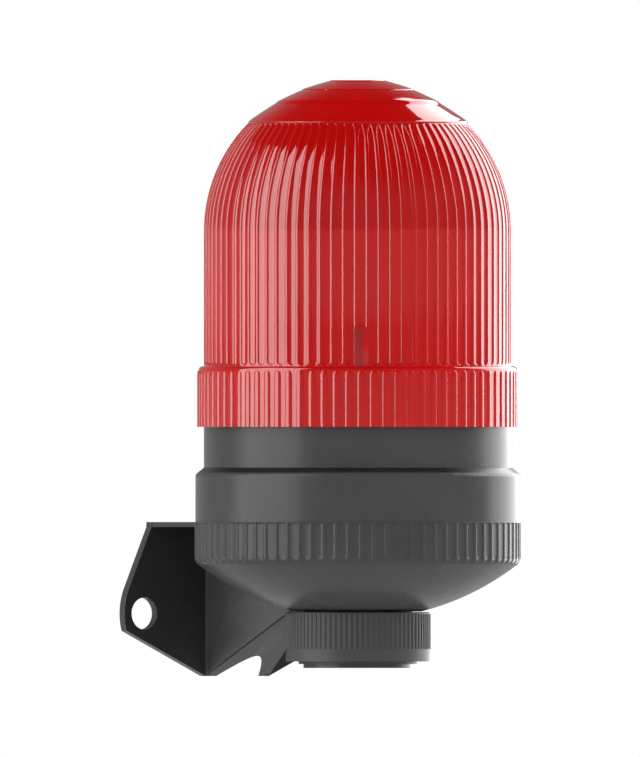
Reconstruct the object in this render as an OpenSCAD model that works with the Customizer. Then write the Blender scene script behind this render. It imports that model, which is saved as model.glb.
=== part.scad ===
// Wall-mounted signal buzzer with a fluted lens.
// Millimetres. The origin lies midway between the two wall screws, on the wall
// plane (Y = 0). The lamp stands out towards -Y, and +Z is up.

/* [Wall bracket] */
// Distance between the two wall screws
screw_spacing = 46.4; // [42:0.2:52]
// Diameter of each wall screw hole
screw_hole_d = 6.4; // [4:0.1:7]
// Thickness of the two wings against the wall
wing_t = 1.8; // [1.4:0.1:3]
// Distance from a screw hole's centre to the wing's outer edge
wing_margin = 4.9; // [4.5:0.1:7]
// Radius of the wing's outer edge beside the screw hole
wing_edge_r = 12.3; // [11:0.1:14]
// Width across the two wings at their top
wing_top_w = 42.8; // [36:0.2:46]
// Slope of the wing's lower edge, in degrees
wing_slope = 24.6; // [18:0.2:30]
// Thickness of the roof plate that joins the wings to the cup
roof_t = 1; // [0.8:0.1:2]
// Width of the hollow arm at the wall
arm_w = 15.8; // [14.5:0.1:18]
// Width of the arm's tip under the cup
arm_tip_w = 4.4; // [4:0.1:8]
// Reach of the arm from the wings to its tip
arm_reach = 24; // [20:0.5:27]
// Drop of the arm below the wall screws
arm_drop = 12.5; // [11:0.1:15]
// Wall thickness of the arm
arm_wall = 1.8; // [1.2:0.1:2.2]
// Slope of the arm's underside, in degrees
arm_slope = 31; // [28:0.5:36]
// Margin between the conical cable notch and the arm's sides, at the wall
notch_margin = 0.5; // [0.4:0.1:1.5]
// Depth of the conical cable notch from the wall to its point
notch_depth = 9.8; // [8:0.1:11]
// Height of the cable notch's axis above the arm's foot
notch_rise = 3; // [2:0.1:4]
// Radius of the round inner corner between a wing and the arm
fold_fillet_r = 0.5; // [0.2:0.1:1]

/* [Wall cup] */
// Distance from the wall to the lamp's axis
axis_offset = 42; // [38:0.5:50]
// Height of the cup's seat above the wall screws
cup_rise = 0.4; // [0:0.1:3]
// Height of the cup from its seat to its rim
cup_h = 17.9; // [16.5:0.1:22]
// Outer radius of the cup over its ribs
cup_r = 32.65; // [30:0.05:36]
// Radius of the dished underside
dish_r = 51.9; // [48:0.1:60]
// Width of the flat seat round the stub, which the clamp nut meets
seat_w = 1.8; // [1.4:0.1:3]
// Radius of the round edge between the dish and the ribbed ring
cup_fillet_r = 2; // [1.4:0.1:3]
// Wall thickness of the cup
cup_wall = 2.2; // [1.6:0.1:2.4]
// Thickness of the cup's floor at the seat
cup_floor_t = 2.4; // [1.8:0.1:3]
// Number of ribs round the cup
cup_rib_count = 80; // [60:1:90]
// Width of each rib round the cup
cup_rib_w = 1.15; // [0.8:0.05:1.4]
// Height of each rib round the cup
cup_rib_h = 0.25; // [0.15:0.05:0.4]

/* [Lamp body] */
// Step from the cup's ribs in to the smooth band
band_inset = 0.15; // [0.05:0.05:0.6]
// Height of the smooth band above the cup
band_h = 9.5; // [8:0.1:14]
// Radius of the round edge at the band's top
band_edge_r = 0.8; // [0.2:0.1:1.2]
// Step from the band in to the lens skirt
skirt_inset = 0.35; // [0:0.05:1]
// Height of the sloped shoulder above the band
shoulder_h = 1.4; // [0.8:0.1:3]
// Height of the neck between the shoulder and the lens
neck_h = 8.1; // [6:0.1:12]
// Overhang of the lens skirt beyond the neck
skirt_overhang = 1.35; // [0.8:0.05:1.6]
// Wall thickness of the lamp body
body_wall = 2.2; // [1.6:0.1:2.6]
// Thickness of the lamp body's floor
body_floor_t = 2.2; // [1.6:0.1:3]
// Depth of the spigot that centres the body in the cup
spigot_h = 4; // [3:0.1:4.4]
// Height of the bayonet collar inside the lens skirt
collar_h = 10; // [9.6:0.1:10.6]
// Outer diameter of the threaded stub
stub_d = 21.8; // [19.8:0.1:22.6]
// Bore of the threaded stub
stub_bore_d = 16; // [12:0.1:17]
// Length of the stub below the cup's seat
stub_len = 11.3; // [11:0.1:14]
// Number of bayonet lugs
lug_count = 3; // [2:1:4]
// Arc covered by each bayonet lug, in degrees
lug_span = 20; // [14:1:24]
// Height of each bayonet lug
lug_h = 2; // [1.5:0.1:2.2]
// How far each bayonet lug stands out
lug_depth = 1.4; // [1.2:0.1:1.6]

/* [Clamp nut] */
// Thickness of the knurled nut round the stub
nut_wall = 3.7; // [3.3:0.1:5]
// Height of the nut
nut_h = 9.9; // [9:0.1:10.4]
// Height of the plain band at the nut's foot
nut_plain_h = 2.5; // [1.5:0.1:3]
// Number of ribs round the nut
nut_rib_count = 84; // [60:1:90]
// Width of each rib round the nut
nut_rib_w = 0.7; // [0.5:0.05:0.8]
// Height of each rib round the nut
nut_rib_h = 0.2; // [0.15:0.05:0.3]
// Height of the plain rim above the nut's ribs
nut_rim_h = 0.4; // [0.2:0.1:1]
// Thickness of the washer held in the nut's top
washer_t = 1.2; // [0.8:0.1:1.6]
// Width of the washer's ring
washer_w = 1.9; // [1.5:0.1:2.2]

/* [Lens] */
// Step from the skirt in to the ridges of the lens
lens_setback = 1.35; // [1:0.05:1.5]
// Height of the lens skirt
skirt_h = 12.1; // [10.8:0.1:14]
// Height of the straight wall above the skirt
straight_h = 27; // [18:0.1:36]
// Wall thickness of the lens
lens_wall = 2.2; // [1.8:0.1:2.6]
// Wall thickness of the lens skirt
skirt_wall = 2.25; // [1.9:0.05:2.4]
// Width of each rib round the lens skirt
skirt_rib_w = 1.55; // [1:0.05:1.7]
// Height of each rib round the lens skirt
skirt_rib_h = 0.25; // [0.15:0.05:0.35]
// Radius of the smooth cap's edge
cap_edge_r = 21.9; // [18:0.1:25]
// Rise of the cap's outer zone
cap_rise = 3.8; // [2.6:0.1:5]
// Radius of the fine step halfway up the cap
cap_step_r = 16.2; // [12:0.1:17]
// Rise of the cap's middle zone
cap_middle_rise = 2.4; // [1.6:0.1:3.2]
// Radius of the fine step below the crown
crown_step_r = 11.1; // [7:0.1:11.6]
// Rise of the cap's inner zone
crown_rise = 1.7; // [1:0.1:2.4]
// Radius of the flat crown
crown_r = 5.5; // [3:0.1:6.5]
// Height of the small lip where the cap meets the flutes
cap_lip = 0.35; // [0.15:0.05:0.5]
// Height of the fine steps on the cap
cap_step = 0.1; // [0.06:0.01:0.2]
// Number of flutes round the lens and of ribs round its skirt
flute_count = 80; // [60:1:90]
// Depth of the flutes
flute_depth = 0.25; // [0.15:0.05:0.35]
// Width of the ridge between two flutes
ridge_w = 0.4; // [0.3:0.05:0.6]
// Turn of the ridges about the lamp's axis, in degrees
ridge_turn = 3; // [0:0.1:4.5]
// Turn of the index mark from the +X axis, in degrees
mark_turn = -125.2; // [-180:0.1:180]
// Width of the index mark
mark_w = 2.6; // [1.5:0.1:4]
// Height of the index mark above the skirt
mark_h = 8; // [5:0.1:12]

/* [Sounder and lights] */
// Thickness of the circuit boards
board_t = 1.6; // [1:0.1:2]
// Radius of the sounder's case
buzzer_r = 12; // [10:0.1:12.6]
// Height of the sounder's case
buzzer_h = 9.5; // [8:0.1:10.5]
// Wall thickness of the sounder's case
buzzer_wall = 1.2; // [0.8:0.1:1.6]
// Diameter of the sound hole
sound_hole_d = 4; // [2:0.1:6]
// Margin of the light board round the spacers' axes
led_board_margin = 1.9; // [1.5:0.1:3]
// Height of the spacers under the light board
spacer_h = 11.5; // [10.8:0.1:16]
// Number of lights round the light board
led_count = 6; // [3:3:6]
// Width of each light
led_w = 3.5; // [2.5:0.1:4]
// Height of each light
led_h = 1.9; // [1:0.1:2.5]
// Number of wire terminals
terminal_count = 3; // [2:1:3]
// Pitch of the wire terminals
terminal_pitch = 5; // [4.5:0.1:5.4]
// Depth of the terminal block
terminal_d = 8; // [7:0.1:9]
// Height of the terminal block
terminal_h = 10; // [9:0.1:10.4]
// Side of the volume control's body
volume_w = 6.6; // [6:0.1:7.4]
// Radius of the volume control's rotor
volume_rotor_r = 2.4; // [1.8:0.1:2.6]
// Length of the tone switch
tone_l = 7.6; // [6.8:0.1:8.4]
// Width of the tone switch
tone_w = 6.2; // [5.6:0.1:7]
// Travel of a tone switch lever
tone_travel = 1.2; // [0.8:0.1:1.6]

/* [Hidden] */
$fn = 96;

// Clearances
fit_gap = 0.1;
slide_gap = 0.3;
lens_gap = 0.06;
// Overrun of a cut past the face that it opens
cut = 1;
// Turn of the upright ribs round the cup and the lens skirt, in degrees
rib_turn = 0.4;
// Step between a rib's crest and the round edge that it runs out on
rib_sink = 0.03;

// Levels of the outer stack, from the wall screws upwards
seat_z = cup_rise;
rim_z = seat_z + cup_h;
band_top_z = rim_z + band_h;
neck_bottom_z = band_top_z + shoulder_h;
neck_top_z = neck_bottom_z + neck_h;
lens_z = neck_top_z + lens_gap;
skirt_top_z = lens_z + skirt_h;
dome_z = skirt_top_z + straight_h;
collar_top_z = neck_top_z + collar_h;
stub_end_z = seat_z - stub_len;

// Radii of the outer stack, from the cup inwards
band_r = cup_r - band_inset;
skirt_r = band_r - skirt_inset;
neck_r = skirt_r - skirt_overhang;
lens_r = skirt_r - lens_setback;
stub_r = stub_d / 2;
seat_r = stub_r + seat_w;
nut_r = stub_r + nut_wall;

// Wall cup
cup_in_r = cup_r - cup_wall;
dish_z = seat_z + sqrt(pow(dish_r, 2) - pow(seat_r, 2));
fillet_c_r = cup_r - cup_fillet_r;
fillet_c_z = dish_z - sqrt(pow(dish_r - cup_fillet_r, 2) - pow(fillet_c_r, 2));
fillet_end_r = fillet_c_r * dish_r / (dish_r - cup_fillet_r);
floor_z = seat_z + cup_floor_t;

// Wall bracket
screw_x = screw_spacing / 2;
fold_x = arm_w / 2;
wing_top_x = wing_top_w / 2;
wing_top_z = rim_z - roof_t;
wing_c_x = screw_x + wing_margin - wing_edge_r;
wing_corner_angle = atan2(wing_top_z, wing_top_x - wing_c_x);
wing_corner_dist = norm([wing_top_x - wing_c_x, wing_top_z]);
wing_tangent = wing_corner_angle - acos(wing_edge_r / wing_corner_dist);
arm_tip_x = arm_tip_w / 2;
arm_tip_y = -(wing_t + arm_reach);
arm_lean = atan2(fold_x - arm_tip_x, arm_reach);
arm_rise = arm_reach * tan(arm_slope);
arm_floor_t = arm_wall / cos(arm_slope);
// Half the width that is left of the hollow at the arm's tip, at the least
arm_tip_hollow = 0.2;

// Lamp body, worked inwards from the lens skirt
skirt_in_r = skirt_r - skirt_wall;
lug_r = skirt_in_r - slide_gap;
collar_r = lug_r - lug_depth;
collar_in_r = collar_r - body_wall;
neck_in_r = neck_r - body_wall;
flange_t = body_wall;
spigot_r = cup_in_r - slide_gap;
spigot_in_r = spigot_r - body_wall;
body_floor_z = rim_z - spigot_h;
body_floor_top_z = body_floor_z + body_floor_t;
stub_bore_r = stub_bore_d / 2;
pedestal_lip = 0.3;
pedestal_r = seat_r + pedestal_lip;
gasket_t = 1;
pedestal_z = floor_z + gasket_t;
// Turn of the shoulder from the upright band, and where the band's round edge starts
shoulder_turn = atan2(band_r - neck_r, shoulder_h);
band_edge_z = band_top_z - band_edge_r * tan(shoulder_turn / 2);

// Lens seal and bayonet, from the neck upwards
seal_section_r = 1.2;
seal_ring_r = skirt_in_r - fit_gap - seal_section_r;
seal_z = neck_top_z + seal_section_r + fit_gap;
ledge_rise = 1.4;
ledge_z = seal_z + seal_section_r + ledge_rise;
ledge_h = lug_h;
lug_z = ledge_z + ledge_h + slide_gap;
ledge_r = collar_r + slide_gap;
lug_step = 360 / lug_count;
stop_span = 4;
stop_gap_span = 0.8;

// Lens
lens_in_r = lens_r - lens_wall;
lens_ceiling_z = lug_z + lug_h + slide_gap;
cap_edge_z = dome_z + sqrt(pow(lens_r, 2) - pow(cap_edge_r, 2));
cap_radii = [cap_edge_r, cap_step_r, crown_step_r, crown_r];
cap_rises = [cap_rise, cap_middle_rise, crown_rise];
// Height at which a zone of the cap starts, counted from its edge
function cap_level(zone) =
  zone == 0 ? cap_edge_z + cap_lip : cap_level(zone - 1) + cap_rises[zone - 1] + cap_step;
lens_top_z = cap_level(len(cap_rises));
skirt_round = 0.9;
mark_proud = 0.35;

// Clamp nut
nut_top_z = seat_z - fit_gap;
nut_bottom_z = nut_top_z - nut_h;
nut_bore_r = stub_r + fit_gap;
washer_in_r = nut_bore_r + fit_gap;
washer_r = washer_in_r + washer_w;
washer_z = nut_top_z - washer_t;
nut_chamfer = 0.2;
nut_lip_h = 0.5;
nut_lip_w = 0.85;
nut_lip_r = nut_bore_r + nut_lip_w;

// Cable grommet
grommet_h = 8;
grommet_hole_r = 3.25;
grommet_lead_in = 0.8;

// Main board in the collar, and its screws
board_gap = 1;
board_sink = 3.4;
board_r = collar_in_r - board_gap;
board_z = collar_top_z - board_sink;
board_top_z = board_z + board_t;
post_r = 3;
post_margin = 0.4;
post_ring_r = board_r - post_r - post_margin;
post_turns = [90, 210, 330];
screw_r = 1.25;
screw_l = 7;
screw_hole_l = 9;
screw_head_r = 2.3;
screw_head_h = 1.6;
screw_slot_w = 0.6;

// Sounder
buzzer_base_t = 1.4;
disc_r = buzzer_r - buzzer_wall - fit_gap;
disc_t = 0.5;
disc_ledge_w = 1.2;
disc_headroom = 2.2;
disc_z = board_top_z + buzzer_h - buzzer_wall - disc_headroom;
ceramic_r = 7.5;
ceramic_t = 0.3;
// Gap from the sounder to what stands round it
ring_gap = 1.2;

// Wire terminals
terminal_end_w = 0.6;
terminal_l = terminal_count * terminal_pitch + terminal_end_w;
terminal_ring_r = buzzer_r + ring_gap + terminal_d / 2;
terminal_cage_w = 3.2;
terminal_cage_h = 4.2;
terminal_cage_z = 1.2;
terminal_cage_floor = 0.5;
terminal_wire_r = 1.1;
terminal_screw_r = 1.4;
terminal_screw_grip = 1.2;
terminal_screw_sink = 1;
terminal_slot_w = 0.5;
terminal_slot_h = 0.7;

// Volume control and tone switch
volume_ring_r = buzzer_r + ring_gap + volume_w / 2;
volume_h = 3.6;
volume_rotor_h = 1.6;
volume_proud = 0.5;
volume_rotor_z = board_top_z + volume_h - volume_rotor_h + volume_proud;
volume_slot_l = 3.4;
volume_slot_w = 0.6;
tone_ring_r = buzzer_r + ring_gap + tone_w / 2;
tone_h = 3.6;
tone_lever_w = 1.3;
tone_lever_l = 1.6;
tone_lever_h = 1.7;
tone_proud = 0.7;
tone_lever_z = board_top_z + tone_h - tone_lever_h + tone_proud;
tone_pitch = 2.54;

// Small parts on the main board
capacitor_r = 3.15;
capacitor_h = 8;
capacitor_turn = 50;
capacitor_ring_r = buzzer_r + ring_gap + capacitor_r;
capacitor_bead_z = 1.6;
capacitor_bead_r = 0.4;
chip_l = 5;
chip_w = 4;
chip_h = 1.5;
chip_turn = 108;
chip_legs = 4;
chip_leg_t = 0.5;
chip_leg_pitch = 1.2;
chip_ring_r = buzzer_r + 3 * ring_gap + chip_w / 2;
header_pins = 4;
header_pitch = 2;
header_w = 2.2;
header_pin_w = 0.6;
header_pin_proud = 1;
header_turn = 142;
header_ring_r = buzzer_r + ring_gap / 2 + header_w / 2;

// Light board on its spacers
spacer_r = 1.5;
spacer_pin_r = 0.9;
spacer_ring_r = buzzer_r + spacer_r + ring_gap / 2;
led_board_r = spacer_ring_r + led_board_margin;
led_board_z = board_top_z + spacer_h;
led_board_top_z = led_board_z + board_t;
led_ring_r = led_board_r - led_w;
led_rim = 0.5;
led_cone_lean = 0.4;

housing_colour = "#4c4c4e";
nut_colour = "#454547";
lens_colour = "#c4161c";
rubber_colour = "#1c1c1d";
steel_colour = "#b9bcc0";
board_colour = "#23583a";
plastic_black = "#242426";

// Puts what follows at the lamp's axis
module on_axis(z = 0) translate([0, -axis_offset, z]) children();

// Puts what follows on the main board, at a radius and turn about the lamp's axis
module on_board(ring_r, turn, z = board_top_z)
  on_axis(z) rotate(turn) translate([ring_r, 0, 0]) children();

// A flat ring
module ring(outer_r, inner_r, h) {
  difference() {
    cylinder(r = outer_r, h = h);
    translate([0, 0, -cut]) cylinder(r = inner_r, h = h + 2 * cut);
  }
}

// Plan of a disc with round ribs, whose crests lie at a radius
module ribbed_outline(crest_r, w, h, count) {
  rib_r = (pow(w / 2, 2) + pow(h, 2)) / (2 * h);
  circle(r = crest_r - h);
  for (i = [0 : count - 1]) rotate(i * 360 / count)
    translate([crest_r - rib_r, 0]) circle(r = rib_r, $fn = 24);
}

// Part of a ring between two radii, centred on +X, as for a bayonet lug
module ring_sector(outer_r, inner_r, h, span) {
  rotate(-span / 2) rotate_extrude(angle = span)
    translate([inner_r, 0]) square([outer_r - inner_r, h]);
}

// Wall base: ribbed cup, hollow arm, wings and roof plate, moulded as one piece

module cup_outer_profile() {
  intersection() {
    translate([0, dish_z]) circle(r = dish_r);
    translate([0, seat_z]) square([fillet_end_r, fillet_c_z + cup_fillet_r - seat_z]);
  }
  translate([fillet_c_r, fillet_c_z]) circle(r = cup_fillet_r);
}

module cup_inner_profile() {
  intersection() {
    translate([0, dish_z]) circle(r = dish_r - cup_wall);
    translate([0, floor_z]) square([cup_in_r, rim_z - floor_z + cut]);
  }
}

// Each rib runs out in a point over the round lower edge
module cup_outer() {
  on_axis() {
    rotate_extrude() cup_outer_profile();
    translate([0, 0, fillet_c_z]) rotate(rib_turn) linear_extrude(rim_z - fillet_c_z)
      ribbed_outline(cup_r - rib_sink, cup_rib_w, cup_rib_h - rib_sink, cup_rib_count);
  }
}

module wing_outline() {
  root_x = fold_x - arm_wall;
  far_x = 2 * screw_spacing;
  intersection() {
    union() {
      translate([wing_c_x, 0]) circle(r = wing_edge_r);
      polygon([
        [root_x, -arm_drop],
        [wing_c_x, -arm_drop],
        [wing_c_x + wing_edge_r * cos(wing_tangent), wing_edge_r * sin(wing_tangent)],
        [wing_top_x, wing_top_z],
        [root_x, wing_top_z]
      ]);
    }
    polygon([
      [root_x, -arm_drop],
      [fold_x, -arm_drop],
      [far_x, -arm_drop + (far_x - fold_x) * tan(wing_slope)],
      [far_x, wing_top_z],
      [root_x, wing_top_z]
    ]);
  }
}

module wing() {
  rotate([90, 0, 0]) linear_extrude(wing_t) wing_outline();
}

// Plan of the arm, drawn in by a wall thickness for its hollow
module arm_plan(inset) {
  slant = inset / cos(arm_lean);
  tip_x = max(arm_tip_x - slant, arm_tip_hollow);
  back = inset > 0 ? cut : 0;
  polygon([
    [-(fold_x - slant), back],
    [fold_x - slant, back],
    [fold_x - slant, -wing_t],
    [tip_x, arm_tip_y],
    [-tip_x, arm_tip_y],
    [-(fold_x - slant), -wing_t]
  ]);
}

// Side view of the arm above its sloped underside, as (Y, Z)
module arm_side(floor_t) {
  back = floor_t > 0 ? cut : 0;
  polygon([
    [back, -arm_drop + floor_t],
    [-wing_t, -arm_drop + floor_t],
    [arm_tip_y, -arm_drop + floor_t + arm_rise],
    [arm_tip_y, wing_top_z],
    [back, wing_top_z]
  ]);
}

module arm_form(inset, floor_t) {
  intersection() {
    translate([0, 0, -arm_drop]) linear_extrude(arm_drop + wing_top_z) arm_plan(inset);
    translate([-arm_w, 0, 0]) rotate([90, 0, 90]) linear_extrude(2 * arm_w) arm_side(floor_t);
  }
}

// Funnel for the cable, which opens towards the wall
module cable_notch() {
  notch_r = fold_x - notch_margin;
  mouth_r = notch_r * (notch_depth + cut) / notch_depth;
  translate([0, cut, notch_rise - arm_drop]) rotate([90, 0, 0])
    cylinder(r1 = mouth_r, r2 = 0, h = notch_depth + cut);
}

module arm() {
  difference() {
    arm_form(0, 0);
    arm_form(arm_wall, arm_floor_t);
  }
}

// Round inner corner between a wing and the arm, ended by the wing's outline
module fold_fillet() {
  run = fold_fillet_r / tan((90 + arm_lean) / 2);
  centre = [fold_x + run, -wing_t - fold_fillet_r];
  arm_touch = [fold_x - run * sin(arm_lean), -wing_t - run * cos(arm_lean)];
  intersection() {
    rotate([90, 0, 0]) linear_extrude(wing_t + fold_fillet_r) wing_outline();
    translate([0, 0, -arm_drop]) linear_extrude(arm_drop + wing_top_z) difference() {
      polygon([
        [fold_x - arm_wall / 2, -wing_t / 2],
        [centre.x, -wing_t / 2],
        centre,
        arm_touch,
        arm_touch - [arm_wall / 2, 0]
      ]);
      translate(centre) circle(r = fold_fillet_r);
    }
  }
}

module roof() {
  translate([-wing_top_x, -axis_offset, wing_top_z]) cube([wing_top_w, axis_offset, roof_t]);
}

module wall_base() {
  color(housing_colour) difference() {
    union() {
      cup_outer();
      arm();
      roof();
      for (side = [0, 1]) mirror([side, 0, 0]) {
        wing();
        fold_fillet();
      }
    }
    cable_notch();
    on_axis() rotate_extrude() cup_inner_profile();
    on_axis(seat_z - cut) cylinder(r = stub_r + slide_gap, h = cup_floor_t + 2 * cut);
    for (side = [-1, 1])
      translate([side * screw_x, cut, 0]) rotate([90, 0, 0])
        cylinder(d = screw_hole_d, h = wing_t + 2 * cut);
  }
}

// Lamp body: threaded stub, floor, band, neck and bayonet collar

module lamp_body_profile() {
  edge = [band_r - band_edge_r, band_edge_z];
  polygon([
    [stub_bore_r, stub_end_z],
    [stub_r, stub_end_z],
    [stub_r, pedestal_z],
    [pedestal_r, pedestal_z],
    [pedestal_r, body_floor_z],
    [spigot_r, body_floor_z],
    [spigot_r, rim_z],
    [band_r, rim_z],
    [band_r, band_edge_z],
    edge + band_edge_r * [cos(shoulder_turn), sin(shoulder_turn)],
    [neck_r, neck_bottom_z],
    [neck_r, neck_top_z],
    [collar_r, neck_top_z],
    [collar_r, collar_top_z],
    [collar_in_r, collar_top_z],
    [collar_in_r, neck_top_z - flange_t],
    [neck_in_r, neck_top_z - flange_t],
    [neck_in_r, neck_bottom_z],
    [spigot_in_r, band_top_z],
    [spigot_in_r, body_floor_top_z],
    [stub_bore_r, body_floor_top_z]
  ]);
  translate(edge) circle(r = band_edge_r);
}

module bayonet_lug() {
  root_r = collar_r - body_wall / 2;
  translate([0, 0, lug_z]) ring_sector(lug_r, root_r, lug_h, lug_span);
  rotate(-(lug_span + stop_span) / 2 - stop_gap_span)
    translate([0, 0, ledge_z]) ring_sector(lug_r, root_r, lug_z + lug_h - ledge_z, stop_span);
}

module lamp_body() {
  post_h = board_z - body_floor_z - body_floor_t / 2;
  color(housing_colour) on_axis() difference() {
    union() {
      rotate_extrude() lamp_body_profile();
      for (i = [0 : lug_count - 1]) rotate(i * lug_step) bayonet_lug();
      for (turn = post_turns) rotate(turn)
        translate([post_ring_r, 0, board_z - post_h]) cylinder(r = post_r, h = post_h);
    }
    translate([0, 0, seal_z]) rotate_extrude()
      translate([seal_ring_r, 0]) circle(r = seal_section_r + fit_gap / 2);
    for (turn = post_turns) rotate(turn)
      translate([post_ring_r, 0, board_z - screw_hole_l])
        cylinder(r = screw_r + fit_gap / 2, h = screw_hole_l + cut);
  }
}

module seat_gasket() {
  color(rubber_colour) on_axis(floor_z) ring(pedestal_r, stub_r + fit_gap, gasket_t);
}

// Rubber bung that grips the cable at the stub's open end
module cable_grommet() {
  outer_r = stub_bore_r - fit_gap / 2;
  color(rubber_colour) on_axis(stub_end_z) rotate_extrude() polygon([
    [grommet_hole_r, 0],
    [outer_r, 0],
    [outer_r, grommet_h - 3 * grommet_lead_in],
    [outer_r - grommet_lead_in, grommet_h],
    [grommet_hole_r, grommet_h]
  ]);
}

// Clamp nut and its washer

module nut_washer() {
  color(steel_colour) on_axis(washer_z) ring(washer_r, washer_in_r, washer_t);
}

module clamp_nut() {
  plain_r = nut_r - nut_rib_h;
  color(nut_colour) on_axis(nut_bottom_z) difference() {
    union() {
      rotate_extrude() polygon([
        [0, -nut_lip_h],
        [nut_lip_r, -nut_lip_h],
        [nut_lip_r, 0],
        [plain_r, 0],
        [plain_r, nut_h - nut_chamfer],
        [plain_r - nut_chamfer, nut_h],
        [0, nut_h]
      ]);
      translate([0, 0, nut_plain_h]) linear_extrude(nut_h - nut_plain_h - nut_rim_h)
        ribbed_outline(nut_r, nut_rib_w, nut_rib_h, nut_rib_count);
    }
    translate([0, 0, -nut_lip_h - cut]) cylinder(r = nut_bore_r, h = nut_h + nut_lip_h + 2 * cut);
    translate([0, 0, nut_h - washer_t - fit_gap])
      cylinder(r = washer_r + fit_gap, h = washer_t + fit_gap + cut);
  }
}

// Lens and its seal

module lens_seal() {
  color(rubber_colour) on_axis(seal_z) rotate_extrude()
    translate([seal_ring_r, 0]) circle(r = seal_section_r);
}

// Outer form of the fluted wall and dome, drawn in by the depth of a flute
module lens_wall_profile(inset) {
  wall_r = lens_r - inset;
  translate([0, skirt_top_z - skirt_round]) square([wall_r, dome_z - skirt_top_z + skirt_round]);
  intersection() {
    translate([0, dome_z]) circle(r = wall_r);
    translate([0, dome_z - cut]) square([wall_r, cap_edge_z - dome_z + cut]);
  }
}

// Outer form of the skirt, clear of its ribs up to the round edge at the top
module skirt_profile() {
  edge_r = skirt_r + rib_sink;
  translate([0, lens_z]) square([edge_r, skirt_h - skirt_round]);
  translate([0, skirt_top_z - 2 * skirt_round]) square([edge_r - skirt_round, 2 * skirt_round]);
  translate([edge_r - skirt_round, skirt_top_z - skirt_round]) circle(r = skirt_round);
}

module skirt() {
  intersection() {
    rotate_extrude() skirt_profile();
    translate([0, 0, lens_z - cut]) rotate(rib_turn) linear_extrude(skirt_h + 2 * cut)
      ribbed_outline(skirt_r, skirt_rib_w, skirt_rib_h, flute_count);
  }
}

// Outline of the stepped cap from its edge in to the axis, lowered by a wall
function cap_outline(drop) = [
  for (zone = [0 : len(cap_rises) - 1]) each [
    [cap_radii[zone], cap_level(zone) - drop],
    [cap_radii[zone + 1], cap_level(zone) + cap_rises[zone] - drop]
  ],
  [crown_r, lens_top_z - drop],
  [0, lens_top_z - drop]
];

// Smooth cap of three zones, each a fine step higher than the one outside it
module cap_profile() {
  cap_base_z = cap_edge_z - 2 * lens_wall;
  polygon([[0, cap_base_z], [cap_edge_r, cap_base_z], each cap_outline(0)]);
}

// Hollow of the lens, which leaves a full wall under the dome and under the cap
module lens_hollow_profile() {
  translate([0, lens_z - cut]) square([skirt_in_r, lens_ceiling_z - lens_z + cut]);
  translate([0, lens_z]) square([lens_in_r, dome_z - lens_z]);
  intersection() {
    translate([0, dome_z]) circle(r = lens_in_r);
    polygon([
      [0, dome_z - cut],
      [lens_r, dome_z - cut],
      [lens_r, cap_level(0) - lens_wall],
      each cap_outline(lens_wall)
    ]);
  }
}

// Thin upright ridge that follows the wall and the dome up to the cap
module lens_ridge() {
  rotate([90, 0, 0]) linear_extrude(ridge_w, center = true) difference() {
    lens_wall_profile(0);
    lens_wall_profile(lens_wall / 2);
    translate([0, dome_z]) square([cap_edge_r - lens_wall / 2, 2 * lens_r]);
  }
}

module lens() {
  flute_pitch = 360 / flute_count;
  color(lens_colour, 0.85) on_axis() difference() {
    union() {
      rotate_extrude() {
        lens_wall_profile(flute_depth);
        cap_profile();
      }
      skirt();
      for (i = [0 : flute_count - 1]) rotate(ridge_turn + i * flute_pitch) lens_ridge();
      rotate(mark_turn) translate([lens_r - lens_wall / 2, -mark_w / 2, skirt_top_z - skirt_round])
        cube([lens_wall / 2 + mark_proud, mark_w, mark_h + skirt_round]);
    }
    difference() {
      rotate_extrude() lens_hollow_profile();
      for (i = [0 : lug_count - 1]) rotate(i * lug_step) translate([0, 0, ledge_z])
        ring_sector(skirt_r, ledge_r, ledge_h, lug_span);
    }
  }
}

// Main board and its screws

module main_board() {
  color(board_colour) difference() {
    on_axis(board_z) cylinder(r = board_r, h = board_t);
    for (turn = post_turns) on_board(post_ring_r, turn, board_z - cut)
      cylinder(r = screw_r + fit_gap, h = board_t + 2 * cut);
    for (turn = post_turns) on_board(spacer_ring_r, turn, board_z - cut)
      cylinder(r = spacer_pin_r + fit_gap / 2, h = board_t + 2 * cut);
  }
}

module board_screw() {
  difference() {
    union() {
      translate([0, 0, -screw_l]) cylinder(r = screw_r, h = screw_l + screw_head_h / 2);
      cylinder(r = screw_head_r, h = screw_head_h);
    }
    translate([-screw_head_r - cut, -screw_slot_w / 2, screw_head_h / 2])
      cube([2 * (screw_head_r + cut), screw_slot_w, screw_head_h]);
  }
}

module board_screws() {
  color(steel_colour) for (turn = post_turns) on_board(post_ring_r, turn) board_screw();
}

// Sounder

module buzzer_base() {
  color(plastic_black) on_axis(board_top_z) cylinder(r = disc_r, h = buzzer_base_t);
}

module buzzer_case() {
  color(plastic_black) on_axis(board_top_z) difference() {
    cylinder(r = buzzer_r, h = buzzer_h);
    translate([0, 0, -cut])
      cylinder(r = buzzer_r - buzzer_wall, h = disc_z - board_top_z + disc_t + fit_gap / 2 + cut);
    cylinder(r = buzzer_r - buzzer_wall - disc_ledge_w, h = buzzer_h - buzzer_wall);
    cylinder(d = sound_hole_d, h = buzzer_h + cut);
  }
}

// Brass plate with its ceramic face, held against the ledge in the case
module buzzer_disc() {
  color("#c8a250") on_axis(disc_z) {
    cylinder(r = disc_r, h = disc_t);
    translate([0, 0, -ceramic_t]) cylinder(r = ceramic_r, h = ceramic_t);
  }
}

// Wire terminals

module each_terminal() {
  for (i = [0 : terminal_count - 1]) on_board(terminal_ring_r, -90)
    translate([0, (i - (terminal_count - 1) / 2) * terminal_pitch, 0]) children();
}

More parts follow.
